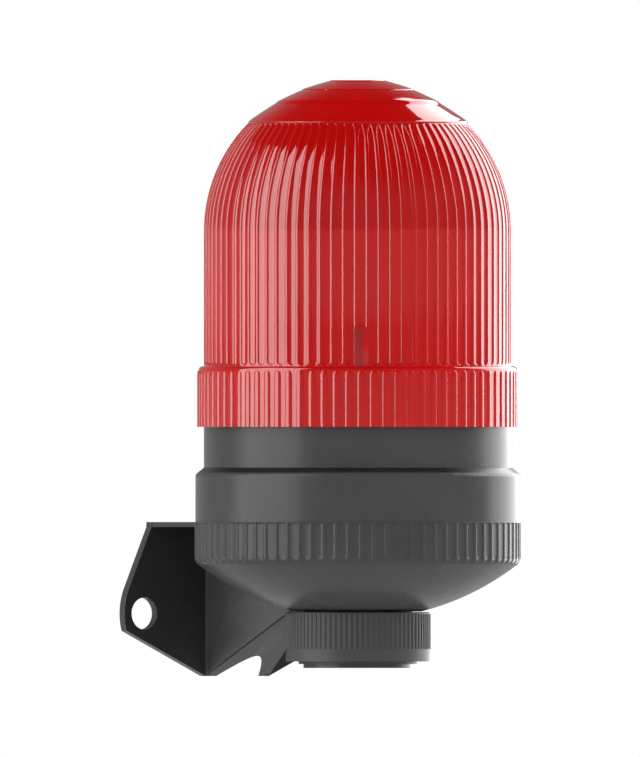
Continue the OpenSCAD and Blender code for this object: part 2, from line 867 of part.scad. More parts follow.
module terminal_block() {
  pocket = terminal_cage_w / 2 + fit_gap;
  color("#2f6f4f") difference() {
    on_board(terminal_ring_r, -90) translate([-terminal_d / 2, -terminal_l / 2, 0])
      cube([terminal_d, terminal_l, terminal_h]);
    each_terminal() {
      translate([-pocket, -pocket, terminal_cage_z - fit_gap])
        cube([terminal_d, 2 * pocket, terminal_cage_h + 2 * fit_gap]);
      translate([0, 0, terminal_cage_z]) cylinder(r = terminal_screw_r + fit_gap, h = terminal_h);
    }
  }
}

module terminal_cages() {
  wire_z = terminal_cage_z + terminal_cage_floor + terminal_wire_r;
  color("#c9b37a") each_terminal() difference() {
    translate([-terminal_cage_w / 2, -terminal_cage_w / 2, terminal_cage_z])
      cube([terminal_cage_w, terminal_cage_w, terminal_cage_h]);
    translate([0, 0, wire_z]) rotate([0, 90, 0])
      cylinder(r = terminal_wire_r, h = 2 * terminal_cage_w, center = true);
    translate([0, 0, wire_z - terminal_cage_floor])
      cylinder(r = terminal_screw_r + fit_gap / 2, h = terminal_cage_h);
  }
}

module terminal_screws() {
  foot_z = terminal_cage_z + terminal_cage_h - terminal_screw_grip;
  top_z = terminal_h - terminal_screw_sink;
  color(steel_colour) each_terminal() difference() {
    translate([0, 0, foot_z]) cylinder(r = terminal_screw_r, h = top_z - foot_z);
    translate([-terminal_screw_r - cut, -terminal_slot_w / 2, top_z - terminal_slot_h])
      cube([2 * (terminal_screw_r + cut), terminal_slot_w, terminal_slot_h + cut]);
  }
}

// Volume control

module volume_body() {
  color("#2a5fa8") on_board(volume_ring_r, 0) difference() {
    translate([-volume_w / 2, -volume_w / 2, 0]) cube([volume_w, volume_w, volume_h]);
    translate([0, 0, volume_rotor_z - board_top_z - fit_gap])
      cylinder(r = volume_rotor_r + fit_gap, h = volume_h);
  }
}

module volume_rotor() {
  color("#e8e6df") on_board(volume_ring_r, 0, volume_rotor_z) difference() {
    cylinder(r = volume_rotor_r, h = volume_rotor_h);
    translate([-volume_slot_l / 2, -volume_slot_w / 2, volume_rotor_h / 2])
      cube([volume_slot_l, volume_slot_w, volume_rotor_h]);
  }
}

// Tone switch: two small levers that slide towards the lamp's axis

module tone_place(i) {
  on_board(tone_ring_r, 180) translate([tone_travel / 2, (i - 0.5) * tone_pitch, 0]) children();
}

module tone_switch() {
  color("#b3202a") difference() {
    on_board(tone_ring_r, 180) translate([-tone_w / 2, -tone_l / 2, 0]) cube([tone_w, tone_l, tone_h]);
    for (i = [0, 1]) tone_place(i)
      translate([-tone_lever_l / 2 - tone_travel - fit_gap, -tone_lever_w / 2 - fit_gap,
        tone_lever_z - board_top_z - fit_gap])
        cube([tone_lever_l + tone_travel + 2 * fit_gap, tone_lever_w + 2 * fit_gap, tone_h]);
  }
}

module tone_lever(i) {
  color("#e8e6df") tone_place(i)
    translate([-tone_lever_l / 2, -tone_lever_w / 2, tone_lever_z - board_top_z])
      cube([tone_lever_l, tone_lever_w, tone_lever_h]);
}

module tone_lever_1() tone_lever(0);
module tone_lever_2() tone_lever(1);

// Small parts on the main board

module capacitor() {
  color("#26324f") on_board(capacitor_ring_r, capacitor_turn) difference() {
    cylinder(r = capacitor_r, h = capacitor_h);
    translate([0, 0, capacitor_bead_z]) rotate_extrude()
      translate([capacitor_r + capacitor_bead_r / 4, 0]) circle(r = capacitor_bead_r);
  }
}

module driver_chip() {
  foot = chip_leg_t / 2;
  color(plastic_black) on_board(chip_ring_r, chip_turn) {
    translate([-chip_w / 2, -chip_l / 2, foot]) cube([chip_w, chip_l, chip_h - foot]);
    for (i = [0 : chip_legs - 1])
      translate([-chip_w / 2 - chip_leg_t, (i - (chip_legs - 1) / 2) * chip_leg_pitch - foot, 0])
        cube([chip_w + 2 * chip_leg_t, chip_leg_t, chip_leg_t]);
  }
}

// Pin header that joins the light board to the main board
module board_header() {
  block_l = header_pins * header_pitch;
  foot = header_pin_w / 2;
  color(plastic_black) on_board(header_ring_r, header_turn) {
    translate([-header_w / 2, -block_l / 2, 0]) cube([header_w, block_l, spacer_h]);
    for (i = [0 : header_pins - 1])
      translate([-foot, (i - (header_pins - 1) / 2) * header_pitch - foot, spacer_h / 2])
        cube([header_pin_w, header_pin_w, spacer_h / 2 + board_t + header_pin_proud]);
  }
}

// Light board on its spacers

module led_spacers() {
  color("#e8e6df") for (turn = post_turns) on_board(spacer_ring_r, turn) {
    cylinder(r = spacer_r, h = spacer_h);
    translate([0, 0, -board_t]) cylinder(r = spacer_pin_r, h = spacer_h + 2 * board_t);
  }
}

module led_board() {
  slot_l = header_pins * header_pitch;
  color("#e9e9e6") difference() {
    on_axis(led_board_z) cylinder(r = led_board_r, h = board_t);
    for (turn = post_turns) on_board(spacer_ring_r, turn, led_board_z - cut)
      cylinder(r = spacer_pin_r + fit_gap / 2, h = board_t + 2 * cut);
    on_board(header_ring_r, header_turn, led_board_z - cut)
      translate([-header_w / 4, -slot_l / 2, 0]) cube([header_w / 2, slot_l, board_t + 2 * cut]);
    on_axis(led_board_z - cut) cylinder(d = sound_hole_d, h = board_t + 2 * cut);
  }
}

module leds() {
  mouth_r = led_w / 2 - led_rim;
  color("#f2e9b8") for (i = [0 : led_count - 1])
    on_board(led_ring_r, i * 360 / led_count, led_board_top_z) difference() {
      translate([-led_w / 2, -led_w / 2, 0]) cube([led_w, led_w, led_h]);
      translate([0, 0, led_h / 2])
        cylinder(r1 = mouth_r - led_cone_lean, r2 = mouth_r, h = led_h / 2 + fit_gap);
    }
}

wall_base();
lamp_body();
seat_gasket();
cable_grommet();
nut_washer();
clamp_nut();
lens_seal();
lens();
main_board();
board_screws();
buzzer_base();
buzzer_case();
buzzer_disc();
terminal_block();
terminal_cages();
terminal_screws();
volume_body();
volume_rotor();
tone_switch();
tone_lever_1();
tone_lever_2();
capacitor();
driver_chip();
board_header();
led_spacers();
led_board();
leds();
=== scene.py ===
"""Wall-mounted signal buzzer: its fluted lens, its wall bracket, its finishes and its studio."""

import math
from typing import NamedTuple

import bpy
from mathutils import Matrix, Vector


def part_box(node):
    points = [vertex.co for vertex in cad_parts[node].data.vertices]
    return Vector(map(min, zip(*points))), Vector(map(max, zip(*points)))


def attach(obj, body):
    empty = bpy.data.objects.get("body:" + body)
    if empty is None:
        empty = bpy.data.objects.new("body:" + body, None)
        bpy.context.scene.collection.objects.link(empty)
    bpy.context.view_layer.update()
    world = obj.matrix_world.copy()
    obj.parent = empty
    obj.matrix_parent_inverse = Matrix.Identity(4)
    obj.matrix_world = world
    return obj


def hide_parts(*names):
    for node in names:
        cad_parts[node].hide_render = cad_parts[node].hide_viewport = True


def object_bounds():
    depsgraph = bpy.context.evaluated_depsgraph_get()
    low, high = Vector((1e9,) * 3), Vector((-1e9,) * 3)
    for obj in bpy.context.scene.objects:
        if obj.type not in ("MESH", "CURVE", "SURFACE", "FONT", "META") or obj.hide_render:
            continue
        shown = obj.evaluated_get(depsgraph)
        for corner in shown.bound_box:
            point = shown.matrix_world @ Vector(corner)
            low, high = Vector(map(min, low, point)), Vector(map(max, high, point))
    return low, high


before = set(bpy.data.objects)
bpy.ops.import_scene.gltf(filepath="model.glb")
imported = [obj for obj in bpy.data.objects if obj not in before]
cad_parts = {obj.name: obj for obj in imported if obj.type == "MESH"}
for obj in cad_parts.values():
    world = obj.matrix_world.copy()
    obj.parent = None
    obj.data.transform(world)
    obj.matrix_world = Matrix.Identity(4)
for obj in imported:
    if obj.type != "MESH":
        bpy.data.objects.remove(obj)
CAD_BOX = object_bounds()

bl_info = {
    "name": "Wall Signal Buzzer",
    "version": (1, 0, 0),
    "blender": (4, 5, 0),
    "location": "3D View > Sidebar > Signal",
    "description": "Models a signal buzzer's lens and bracket and gives every piece its finish",
    "category": "Object",
}

MM = 0.001
# Distance within which the points of a mesh are merged
MERGE = 0.002 * MM
# Chamfer of a moulded edge that looks sharp
SHARP_EDGE = 0.06 * MM
LENS_LOW, LENS_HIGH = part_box("lens")
BODY_LOW, BODY_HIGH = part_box("lamp_body")
BASE_LOW, BASE_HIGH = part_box("wall_base")
AXIS = Vector(((BODY_LOW.x + BODY_HIGH.x) / 2, (BODY_LOW.y + BODY_HIGH.y) / 2, 0))
SKIRT_R = (LENS_HIGH.x - LENS_LOW.x) / 2
CUP_R = (BASE_HIGH.x - BASE_LOW.x) / 2
# Front face of the bracket's wings
WING_FACE = BASE_HIGH.y - 1.8 * MM
# Places between which a painted shade comes in, and between which it goes out again: along Y on
# the wings' front faces, and in height on the arm's sides, where it grows darker towards the
# bottom, and on the shoulder under the lamp body's neck
WING_PAINTED_SHADE = (
    (WING_FACE - 0.6 * MM, WING_FACE - 0.05 * MM),
    (WING_FACE + 0.02 * MM, WING_FACE + 0.08 * MM),
)
ARM_PAINTED_SHADE = (BASE_LOW.z - 2 * MM, BASE_LOW.z - 1 * MM), (-30 * MM, 2 * MM)
SHOULDER_PAINTED_SHADE = (28 * MM, 28.35 * MM), (29.17 * MM, 29.2 * MM)
# Material slots of the bracket: the arm's sides and the rounds along its edges, which carry
# painted shade, and the roof plate
SIDE_SLOT, ROUND_SLOT, ROOF_SLOT = 1, 2, 3
# Level directions from the lamp towards the camera and to its right, and the way up
TOWARDS = Vector((-0.6, -0.8, 0))
RIGHT = Vector((0.8, -0.6, 0))
UP = Vector((0, 0, 1))


def quantity(label, description, default):
    """A number of like features that a user may change."""
    return bpy.props.IntProperty(name=label, description=description, default=default, min=3)


def length(label, description, default):
    """A length that a user may change, in metres."""
    return bpy.props.FloatProperty(
        name=label, description=description, default=default, unit="LENGTH", precision=5
    )


def angle(label, description, degrees):
    """An angle that a user may change."""
    return bpy.props.FloatProperty(
        name=label, description=description, default=math.radians(degrees), subtype="ANGLE"
    )


def colour(label, coloured, default):
    """A linear colour that a user may change."""
    description = f"Colour of {coloured}"
    return bpy.props.FloatVectorProperty(
        name=label, description=description, default=default, size=3, min=0, max=1, subtype="COLOR"
    )


def light_level(label, description, default, **limits):
    """A level of light that a user may change."""
    return bpy.props.FloatProperty(
        name=label, description=description, default=default, min=0, **limits
    )


class LensSizes(bpy.types.PropertyGroup):
    """Sizes of the lens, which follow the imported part."""

    flutes: quantity("Flutes", "Number of flutes round the lens", 80)
    bottom: length("Bottom", "Height of the skirt's lower edge", LENS_LOW.z - 0.05 * MM)
    top: length("Top", "Height of the flat crown", LENS_HIGH.z)
    skirt_radius: length("Skirt radius", "Outer radius of the skirt", SKIRT_R)
    skirt_height: length("Skirt height", "Height of the skirt", 12.15 * MM)
    skirt_round: length("Skirt edge", "Radius of the skirt's round upper edge", 0.85 * MM)
    skirt_inner: length("Skirt bore", "Inner radius of the skirt", SKIRT_R - 2.25 * MM)
    rib_height: length("Rib height", "How far the skirt's ribs stand out", 0.26 * MM)
    rib_end: length("Rib end", "Length of the round upper end of a rib", 1 * MM)
    rib_turn: angle("Rib turn", "Turn of the skirt's ribs about the lamp's axis", 0.4)
    radius: length("Radius", "Radius over the ridges of the lens", SKIRT_R - 1.35 * MM)
    wall: length("Wall", "Wall thickness of the lens", 2.2 * MM)
    straight: length("Straight wall", "Height of the upright wall above the skirt", 27 * MM)
    bead_radius: length("Bead radius", "Radius of the round ridge between two flutes", 0.65 * MM)
    bead_lean: angle("Bead lean", "Slope at the foot of a ridge", 50)
    floor_sag: length("Flute sag", "Hollow of a flute's floor", 0.07 * MM)
    arch_length: length("Arch", "Length of the round upper end of a flute", 3 * MM)
    foot_length: length("Foot", "Length of the round lower end of a flute", 0.45 * MM)
    flute_end_gap: length("Flute end gap", "Smooth strip between the flutes and the cap", 0.4 * MM)
    ridge_turn: angle("Ridge turn", "Turn of the ridges about the lamp's axis", 3)
    cap_edge: length("Cap edge", "Radius of the smooth cap's edge", 21.9 * MM)
    cap_lip: length("Cap lip", "Height of the lip where the cap meets the flutes", 0.35 * MM)
    cap_rise: length("Outer rise", "Rise of the cap's outer zone", 3.76 * MM)
    step_radius: length("Outer step", "Radius of the fine step halfway up the cap", 16.2 * MM)
    middle_rise: length("Middle rise", "Rise of the cap's middle zone", 2.36 * MM)
    crown_step: length("Inner step", "Radius of the fine step below the crown", 11.1 * MM)
    crown_rise: length("Inner rise", "Rise of the cap's inner zone", 1.7 * MM)
    crown: length("Crown", "Radius of the flat crown", 5.5 * MM)
    cap_step: length("Cap step", "Height of the fine steps on the cap", 0.14 * MM)
    cap_bulge: length("Cap bulge", "How far a zone of the cap bows out", 0.07 * MM)
    ceiling: length("Skirt ceiling", "Height at which the skirt's hollow narrows", 45.8 * MM)
    mark_turn: angle("Mark turn", "Turn of the index mark from the X axis", -126.74)
    mark_width: length("Mark width", "Width of the index mark", 1.6 * MM)
    mark_height: length("Mark height", "Height of the index mark above the skirt", 7.9 * MM)
    mark_proud: length("Mark proud", "How far the index mark stands out", 0.2 * MM)
    plate_turn: angle("Plate turn", "Turn of the smooth plate under the mark", -125.6)
    plate_width: length("Plate width", "Width of the smooth plate under the mark", 2.9 * MM)
    plate_proud: length("Plate proud", "How far that plate stands out", 0.03 * MM)
    lugs: quantity("Lugs", "Number of bayonet lugs inside the skirt", 3)
    lug_bottom: length("Lug bottom", "Height of the bayonet lugs' lower face", 41.2 * MM)
    lug_height: length("Lug height", "Height of the bayonet lugs", 2 * MM)
    lug_inner: length("Lug radius", "Inner radius of the bayonet lugs", 28.5 * MM)
    lug_span: angle("Lug span", "Arc covered by each bayonet lug", 20)


class BracketSizes(bpy.types.PropertyGroup):
    """Sizes of the ribbed cup and the arm of the wall bracket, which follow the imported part."""

    ribs: quantity("Ribs", "Number of ribs round the cup", 80)
    radius: length("Radius", "Radius over the ribs of the cup", CUP_R + 0.015 * MM)
    rim: length("Rim", "Height of the cup's upper rim", BASE_HIGH.z)
    rim_lip: length("Rim lip", "Height of the plain lip over the ribs", 0.22 * MM)
    rib_height: length("Rib height", "Depth of the grooves between the ribs", 0.25 * MM)
    rib_turn: angle("Rib turn", "Turn of the ribs about the lamp's axis", 0.4)
    fillet: length("Round edge", "Radius of the cup's round lower edge", 2.015 * MM)
    fillet_level: length("Round edge level", "Height where the round edge starts", 11.345 * MM)
    fillet_turn: angle("Round edge turn", "Angle covered by the round lower edge", 52)
    core: length("Core", "Radius to which the cup inside the ribs is drawn in", 32.1 * MM)
    arm_round: length("Arm round", "Width of the round along the arm's edges", 0.25 * MM)


class Finishes(bpy.types.PropertyGroup):
    """Colours of the finishes."""

    lens: colour("Lens", "the lens wall and skirt", (0.625, 0.003, 0.003))
    # Painted shade: the dome and cap are painted a darker red than the wall, for the lesser light
    # through them
    lens_dome_painted_shade: colour("Lens dome", "the thicker dome and cap", (0.55, 0.003, 0.003))
    mark: colour("Index mark", "the duller index mark", (0.42, 0.007, 0.007))
    housing: colour("Housing", "the moulded housing", (0.078, 0.078, 0.079))
    # Painted shade: a dark colour for the wings' fronts, the arm's sides and the arm's rounds,
    # where the cup and roof shade them
    painted_shade: colour("Recesses", "the dull faces behind the cup", (0.033, 0.033, 0.034))
    # Painted shade: the shoulder's dark colour stands in for the shade under the lens skirt and
    # the dark sky it faces
    shoulder: colour("Shoulder", "the shoulder under the neck", (0.021, 0.021, 0.022))
    nut: colour("Nut", "the clamp nut", (0.089, 0.089, 0.09))
    rubber: colour("Rubber", "the seals and the grommet", (0.012, 0.012, 0.013))
    steel: colour("Steel", "the zinc-plated screws and the washer", (0.5, 0.51, 0.53))
    brass: colour("Brass", "the sounder's disc and the wire cages", (0.6, 0.42, 0.16))
    board: colour("Board", "the main board's solder mask", (0.02, 0.1, 0.045))
    board_track: colour("Board tracks", "that mask over copper", (0.035, 0.17, 0.07))
    light_board: colour("Light board", "the light board's mask", (0.75, 0.75, 0.72))
    light_board_track: colour("Light board tracks", "that mask over copper", (0.66, 0.65, 0.58))
    black: colour("Black plastic", "the sounder, the chip and the header", (0.018, 0.018, 0.02))
    terminal: colour("Terminal", "the terminal block", (0.03, 0.16, 0.08))
    blue: colour("Volume control", "the volume control's body", (0.02, 0.11, 0.38))
    ivory: colour("Ivory plastic", "the rotor, the levers and the spacers", (0.78, 0.76, 0.7))
    red: colour("Tone switch", "the tone switch's body", (0.4, 0.02, 0.03))
    sleeve: colour("Capacitor", "the capacitor's sleeve", (0.02, 0.035, 0.09))
    resin: colour("Lights", "the lights' resin", (0.85, 0.78, 0.45))


class Studio(bpy.types.PropertyGroup):
    """Light, floor and camera."""

    frame_height: length("Frame height", "Height of the picture at the lamp", 0.1514)
    target: bpy.props.FloatVectorProperty(
        name="Target",
        description="Point at the middle of the picture",
        default=(-6.06 * MM, -37.46 * MM, 47.0 * MM),
        size=3,
        subtype="TRANSLATION",
    )
    distance: length("Distance", "Distance of the camera and the soft boxes", 0.6)
    floor_level: length("Floor", "Height of the floor", CAD_BOX[0].z - 0.15)
    floor_colour: colour("Floor colour", "the floor's paint", (0.8, 0.8, 0.8))
    horizon: light_level("Horizon", "Level of the soft light from the sides", 0.5)
    zenith: light_level("Zenith", "Level of the soft light from straight above", 1.25)
    side_light: light_level("Side light", "Share of soft light from both sides", 2, max=4)


# Modelling


def plain_selection():
    """Leaves edit mode and deselects everything, so that the next call acts on its own piece."""
    if bpy.context.object and bpy.context.object.mode != "OBJECT":
        bpy.ops.object.mode_set(mode="OBJECT")
    bpy.ops.object.select_all(action="DESELECT")


def edit_all():
    """Opens the active object in edit mode with all of its mesh selected."""
    bpy.ops.object.mode_set(mode="EDIT")
    bpy.ops.mesh.select_all(action="SELECT")


def close_spun_shape():
    """Merges the seams of a spun shape, turns its faces outwards and leaves edit mode."""
    bpy.ops.mesh.select_all(action="SELECT")
    bpy.ops.mesh.remove_doubles(threshold=MERGE)
    bpy.ops.mesh.normals_make_consistent(inside=False)
    bpy.ops.object.mode_set(mode="OBJECT")


def finish_piece(name, smooth_degrees):
    """Names the active object, applies its place to its mesh and smooths it up to an angle."""
    piece = bpy.context.object
    piece.name = name
    piece.data.name = name
    bpy.ops.object.transform_apply(location=True, rotation=True, scale=True)
    bpy.ops.object.shade_smooth_by_angle(angle=math.radians(smooth_degrees))
    return piece


def even_normals(piece):
    """Lets the large flat faces of a piece set the shading at their edges."""
    weighted = piece.modifiers.new("even_normals", "WEIGHTED_NORMAL")
    weighted.weight = 100
    weighted.keep_sharp = True
    bpy.ops.object.modifier_apply(modifier=weighted.name)


def join_pieces(first, others):
    """Joins pieces into the first one."""
    plain_selection()
    for piece in [*others, first]:
        piece.select_set(True)
    bpy.context.view_layer.objects.active = first
    bpy.ops.object.join()


def about_axis(turn, radius, height):
    """Point at a turn, a radius and a height about the lamp's axis."""
    return AXIS + Vector((radius * math.cos(turn), radius * math.sin(turn), height))


def quarter_turn(i, steps):
    """Angle of a step along a quarter of a circle."""
    return i / steps * math.pi / 2


def model_spun_panel(rows, count, turn):
    """A grid shaped to rows of (turn in pitches, radius, height) and spun round the axis."""
    last_column = len(rows[0]) - 1
    last_row = len(rows) - 1
    pitch = 2 * math.pi / count
    plain_selection()
    bpy.ops.mesh.primitive_grid_add(x_subdivisions=last_column, y_subdivisions=last_row, size=1)
    panel = bpy.context.object
    for vertex in panel.data.vertices:
        column = round((vertex.co.x + 0.5) * last_column)
        row = round((vertex.co.y + 0.5) * last_row)
        across, radius, height = rows[row][column]
        vertex.co = about_axis(turn + across * pitch, radius, height)
    edit_all()
    bpy.ops.mesh.spin(
        steps=count - 1, angle=(count - 1) * pitch, dupli=True, center=AXIS, axis=UP
    )
    close_spun_shape()
    return panel


# Lens


class LensSection:
    """Rows of points that run over one flute, from the inner pole of the lens to its outer pole.

    A row is a list of columns, and a column is (turn in pitches, radius, height).
    """

    # Columns across one rib of the skirt, and how far the rib stands out at each of them
    skirt_columns = (0, 0.188, 0.23, 0.296, 0.398, 0.5, 0.602, 0.704, 0.77, 0.812, 1)
    rib_shape = (0, 0, 0.365, 0.708, 0.931, 1, 0.931, 0.708, 0.365, 0, 0)
    # Shares of its full slope at which a round ridge is cut into columns, from crest to foot
    ridge_slopes = (0, 0.4, 0.74, 1)
    # Share of a flute's sag in the column between the ridge's foot and the middle
    side_sag = 0.75
    # Share of its width that a rib or a flute keeps at its very end
    narrow = 0.1
    # Chamfer of the skirt's lower edge, and distance of the two rows at the foot of the wall
    skirt_edge, wall_foot = 0.03 * MM, 0.05 * MM
    # Height above the skirt where the flutes start, and step of the rows that raise their floor
    flute_foot, ramp = 0.35 * MM, 0.1 * MM
    # Row outside the cap's round lip, slopes of the rows over that lip in degrees, share of the
    # lip's radius by which its centre is set in, and place of the first row of the zone inside it
    lip_foot, lip_slopes, lip_inset, lip_width = 0.01 * MM, range(-40, 90, 32), 0.6, 0.5 * MM
    # Numbers of steps from row to row
    inner_steps, rib_end_steps, skirt_round_steps = 12, 8, 6
    foot_steps, dome_steps, arch_steps, zone_steps = 6, 22, 10, 6

    def __init__(self, sizes):
        self.s = sizes
        self.pitch = 2 * math.pi / sizes.flutes
        self.skirt_top = sizes.bottom + sizes.skirt_height
        self.rib_phase = (sizes.rib_turn - sizes.ridge_turn) / self.pitch % 1 - 0.5
        self.dome = self.skirt_top + sizes.straight
        self.inner = sizes.radius - sizes.wall
        self.lip = self.dome + math.sqrt(sizes.radius**2 - sizes.cap_edge**2)
        self.zones = self.cap_zones()
        slopes = [share * sizes.bead_lean for share in self.ridge_slopes]
        arc = sizes.radius * self.pitch
        self.bead_turns = [sizes.bead_radius * math.sin(a) / arc for a in slopes]
        self.bead_depths = [sizes.bead_radius * (1 - math.cos(a)) for a in slopes]
        self.floor_half = 0.5 - self.bead_turns[-1]

    def cap_zones(self):
        """Outer and inner end of each zone of the cap, as (radius, height)."""
        s = self.s
        radii = (s.cap_edge, s.step_radius, s.crown_step, s.crown)
        low = self.lip + s.cap_lip
        zones = []
        for outer, inner, rise in zip(radii, radii[1:], (s.cap_rise, s.middle_rise, s.crown_rise)):
            zones.append(((outer, low), (inner, low + rise)))
            low += rise + s.cap_step
        return zones

    def cap_height(self, radius):
        """Height of the cap at a radius."""
        for (outer, low), (inner, high) in self.zones:
            if radius >= inner:
                return low + (high - low) * (outer - radius) / (outer - inner)
        return self.s.top

    def plain(self, radius, height):
        """A row at one radius and height."""
        return [(turn, radius, height) for turn in self.columns(self.floor_half)]

    def even(self, radius, height):
        """A row at one radius and height, in even columns."""
        last = len(self.skirt_columns) - 1
        return [(i / last, radius, height) for i in range(last + 1)]

    def columns(self, floor_half):
        """Turns of the columns where a flute's floor has this half width."""
        foot = 0.5 - floor_half
        shift = foot - self.bead_turns[-1]
        left = [0, *(turn + shift for turn in self.bead_turns[1:]), (foot + 0.5) / 2]
        return [*left, 0.5, *(1 - turn for turn in reversed(left))]

    def on_wall(self, along):
        """Point and outward direction on the wall or dome, at a distance above the skirt."""
        s = self.s
        if along <= s.straight:
            return s.radius, self.skirt_top + along, 1, 0
        a = (along - s.straight) / s.radius
        out_r, out_z = math.cos(a), math.sin(a)
        return s.radius * out_r, self.dome + s.radius * out_z, out_r, out_z

    def fluted(self, along, floor_half, rise=0):
        """A row across the ridges and a flute, whose floor is raised by some bead columns."""
        radius, height, out_r, out_z = self.on_wall(along)
        taper = radius / self.s.radius
        last = len(self.bead_depths) - 1
        depths = [self.bead_depths[max(0, i - rise)] for i in range(last + 1)]
        sag = 0 if rise else self.s.floor_sag * floor_half / self.floor_half
        depths.append(depths[-1] + self.side_sag * sag)
        across = [*depths, depths[-2] + sag, *reversed(depths)]
        return [
            (turn, radius - out_r * depth * taper, height - out_z * depth * taper)
            for turn, depth in zip(self.columns(floor_half), across)
        ]

    def inner_rows(self):
        """From the inner pole down the inner wall to the skirt's lower edge."""
        s = self.s
        rows = [self.plain(0, s.top - s.wall)]
        for i in range(1, self.inner_steps):
            radius = self.inner * math.sin(quarter_turn(i, self.inner_steps))
            dome = self.dome + math.sqrt(self.inner**2 - radius**2)
            rows.append(self.plain(radius, min(dome, self.cap_height(radius) - s.wall)))
        rows += [self.plain(self.inner, height) for height in (self.dome, s.ceiling)]
        rows += [self.skirt_row(s.skirt_inner, height) for height in (s.ceiling, s.bottom)]
        return rows

    def skirt_row(self, radius, height, rise=0, half=1):
        """A row across the skirt, whose rib has a share of its height and half width."""
        row = []
        for turn, shape in zip(self.skirt_columns, self.rib_shape):
            if 0 < turn < 1:
                turn = 0.5 + (turn - 0.5) * half
            row.append((turn + self.rib_phase, radius + self.s.rib_height * rise * shape, height))
        return row

    def skirt_rows(self):
        """Up the outside of the skirt and over its round edge to the foot of the lens wall."""
        s = self.s
        land = s.skirt_radius - s.rib_height
        centre_r = land - s.skirt_round
        centre_z = self.skirt_top - s.skirt_round
        rib_top = centre_z - s.rib_end
        rows = [
            self.skirt_row(land - self.skirt_edge, s.bottom, 1),
            self.skirt_row(land, s.bottom + self.skirt_edge, 1),
            self.skirt_row(land, rib_top, 1),
        ]
        for i in range(1, self.rib_end_steps + 1):
            a = quarter_turn(i, self.rib_end_steps)
            height = rib_top + s.rib_end * math.sin(a)
            rows.append(self.skirt_row(land, height, math.cos(a), max(math.cos(a), self.narrow)))
        for i in range(1, self.skirt_round_steps + 1):
            a = quarter_turn(i, self.skirt_round_steps)
            radius = centre_r + s.skirt_round * math.cos(a)
            height = centre_z + s.skirt_round * math.sin(a)
            rows.append(self.blend_row(i / self.skirt_round_steps, radius, height))
        return rows

    def blend_row(self, share_of_lens, radius, height):
        """A row whose columns lie between those of the skirt and those of the lens wall."""
        lens = self.columns(self.floor_half)
        skirt = [turn for turn, _, _ in self.skirt_row(radius, height)]
        return [(a + (b - a) * share_of_lens, radius, height) for a, b in zip(skirt, lens)]

    def flute_rows(self):
        """Up the fluted wall and dome to the lip of the cap."""
        s = self.s
        full = self.floor_half
        narrow = self.narrow * full
        wall_end = s.straight + s.radius * math.acos(s.cap_edge / s.radius)
        apex = wall_end - s.flute_end_gap
        arch_start = apex - s.arch_length
        rows = [self.plain(s.radius, self.skirt_top + k * self.wall_foot) for k in (-1, 1)]
        rows += [self.fluted(self.flute_foot - k * self.ramp, narrow, k) for k in (3, 2, 1)]
        for i in range(1, self.foot_steps + 1):
            share = i / self.foot_steps
            along = self.flute_foot + s.foot_length * share**2
            rows.append(self.fluted(along, max(share, self.narrow) * full))
        rows.append(self.fluted(s.straight / 2, full))
        for i in range(self.dome_steps):
            along = s.straight + (arch_start - s.straight) * i / self.dome_steps
            rows.append(self.fluted(along, full))
        for i in range(self.arch_steps + 1):
            share = 1 - i / self.arch_steps
            along = apex - s.arch_length * share**2
            rows.append(self.fluted(along, max(share, self.narrow) * full))
        rows += [self.fluted(apex + k * self.ramp, narrow, k) for k in (1, 2, 3)]
        return rows

    def cap_rows(self):
        """From the lip over the stepped cap to the outer pole."""
        s = self.s
        half_lip = s.cap_lip / 2
        rows = [self.plain(s.cap_edge + self.lip_foot, self.lip)]
        for degrees in self.lip_slopes:
            a = math.radians(degrees)
            radius = s.cap_edge + half_lip * (math.cos(a) - self.lip_inset)
            rows.append(self.even(radius, self.lip + half_lip + half_lip * math.sin(a)))
        for zone, ((outer, low), (inner, high)) in enumerate(self.zones):
            first = outer - (self.lip_width if zone == 0 else SHARP_EDGE)
            for i in range(self.zone_steps + 1):
                radius = first + (inner + SHARP_EDGE - first) * i / self.zone_steps
                along = (outer - radius) / (outer - inner)
                bulge = 4 * s.cap_bulge * along * (1 - along)
                rows.append(self.even(radius, low + (high - low) * along + bulge))
        rows.append(self.even(s.crown, s.top - SHARP_EDGE))
        for radius in (s.crown - SHARP_EDGE, s.crown / 2, 0):
            rows.append(self.even(radius, s.top))
        return rows

    def rows(self):
        """All rows, from pole to pole."""
        return [*self.inner_rows(), *self.skirt_rows(), *self.flute_rows(), *self.cap_rows()]


def model_lens_bar(sizes, turn, width, proud, low):
    """Flat bar that stands on the skirt, in front of the ridges."""
    root = sizes.radius - sizes.wall / 2
    front = sizes.radius + proud
    high = LensSection(sizes).skirt_top + sizes.mark_height
    edge_round = 0.08 * MM
    plain_selection()
    bpy.ops.mesh.primitive_cube_add(size=1)
    bar = bpy.context.object
    for vertex in bar.data.vertices:
        vertex.co = Vector((
            root if vertex.co.x < 0 else front,
            vertex.co.y * width,
            low if vertex.co.z < 0 else high,
        ))
    edit_all()
    bpy.ops.mesh.bevel(offset=edge_round, segments=2, affect="EDGES")
    bpy.ops.object.mode_set(mode="OBJECT")
    bar.location = AXIS
    bar.rotation_euler = (0, 0, turn)
    return bar


def model_lens_lug(sizes, turn):
    """One bayonet lug, a small rectangle spun along the skirt and sunk a little into it."""
    sunk = 0.3 * MM
    outer = sizes.skirt_inner + sunk
    start = turn - sizes.lug_span / 2
    plain_selection()
    bpy.ops.mesh.primitive_plane_add(size=1)
    lug = bpy.context.object
    for vertex in lug.data.vertices:
        radius = sizes.lug_inner if vertex.co.x < 0 else outer
        height = sizes.lug_bottom + (0 if vertex.co.y < 0 else sizes.lug_height)
        vertex.co = about_axis(start, radius, height)
    edit_all()
    bpy.ops.mesh.spin(steps=8, angle=sizes.lug_span, center=AXIS, axis=UP)
    close_spun_shape()
    return lug


# Wall bracket


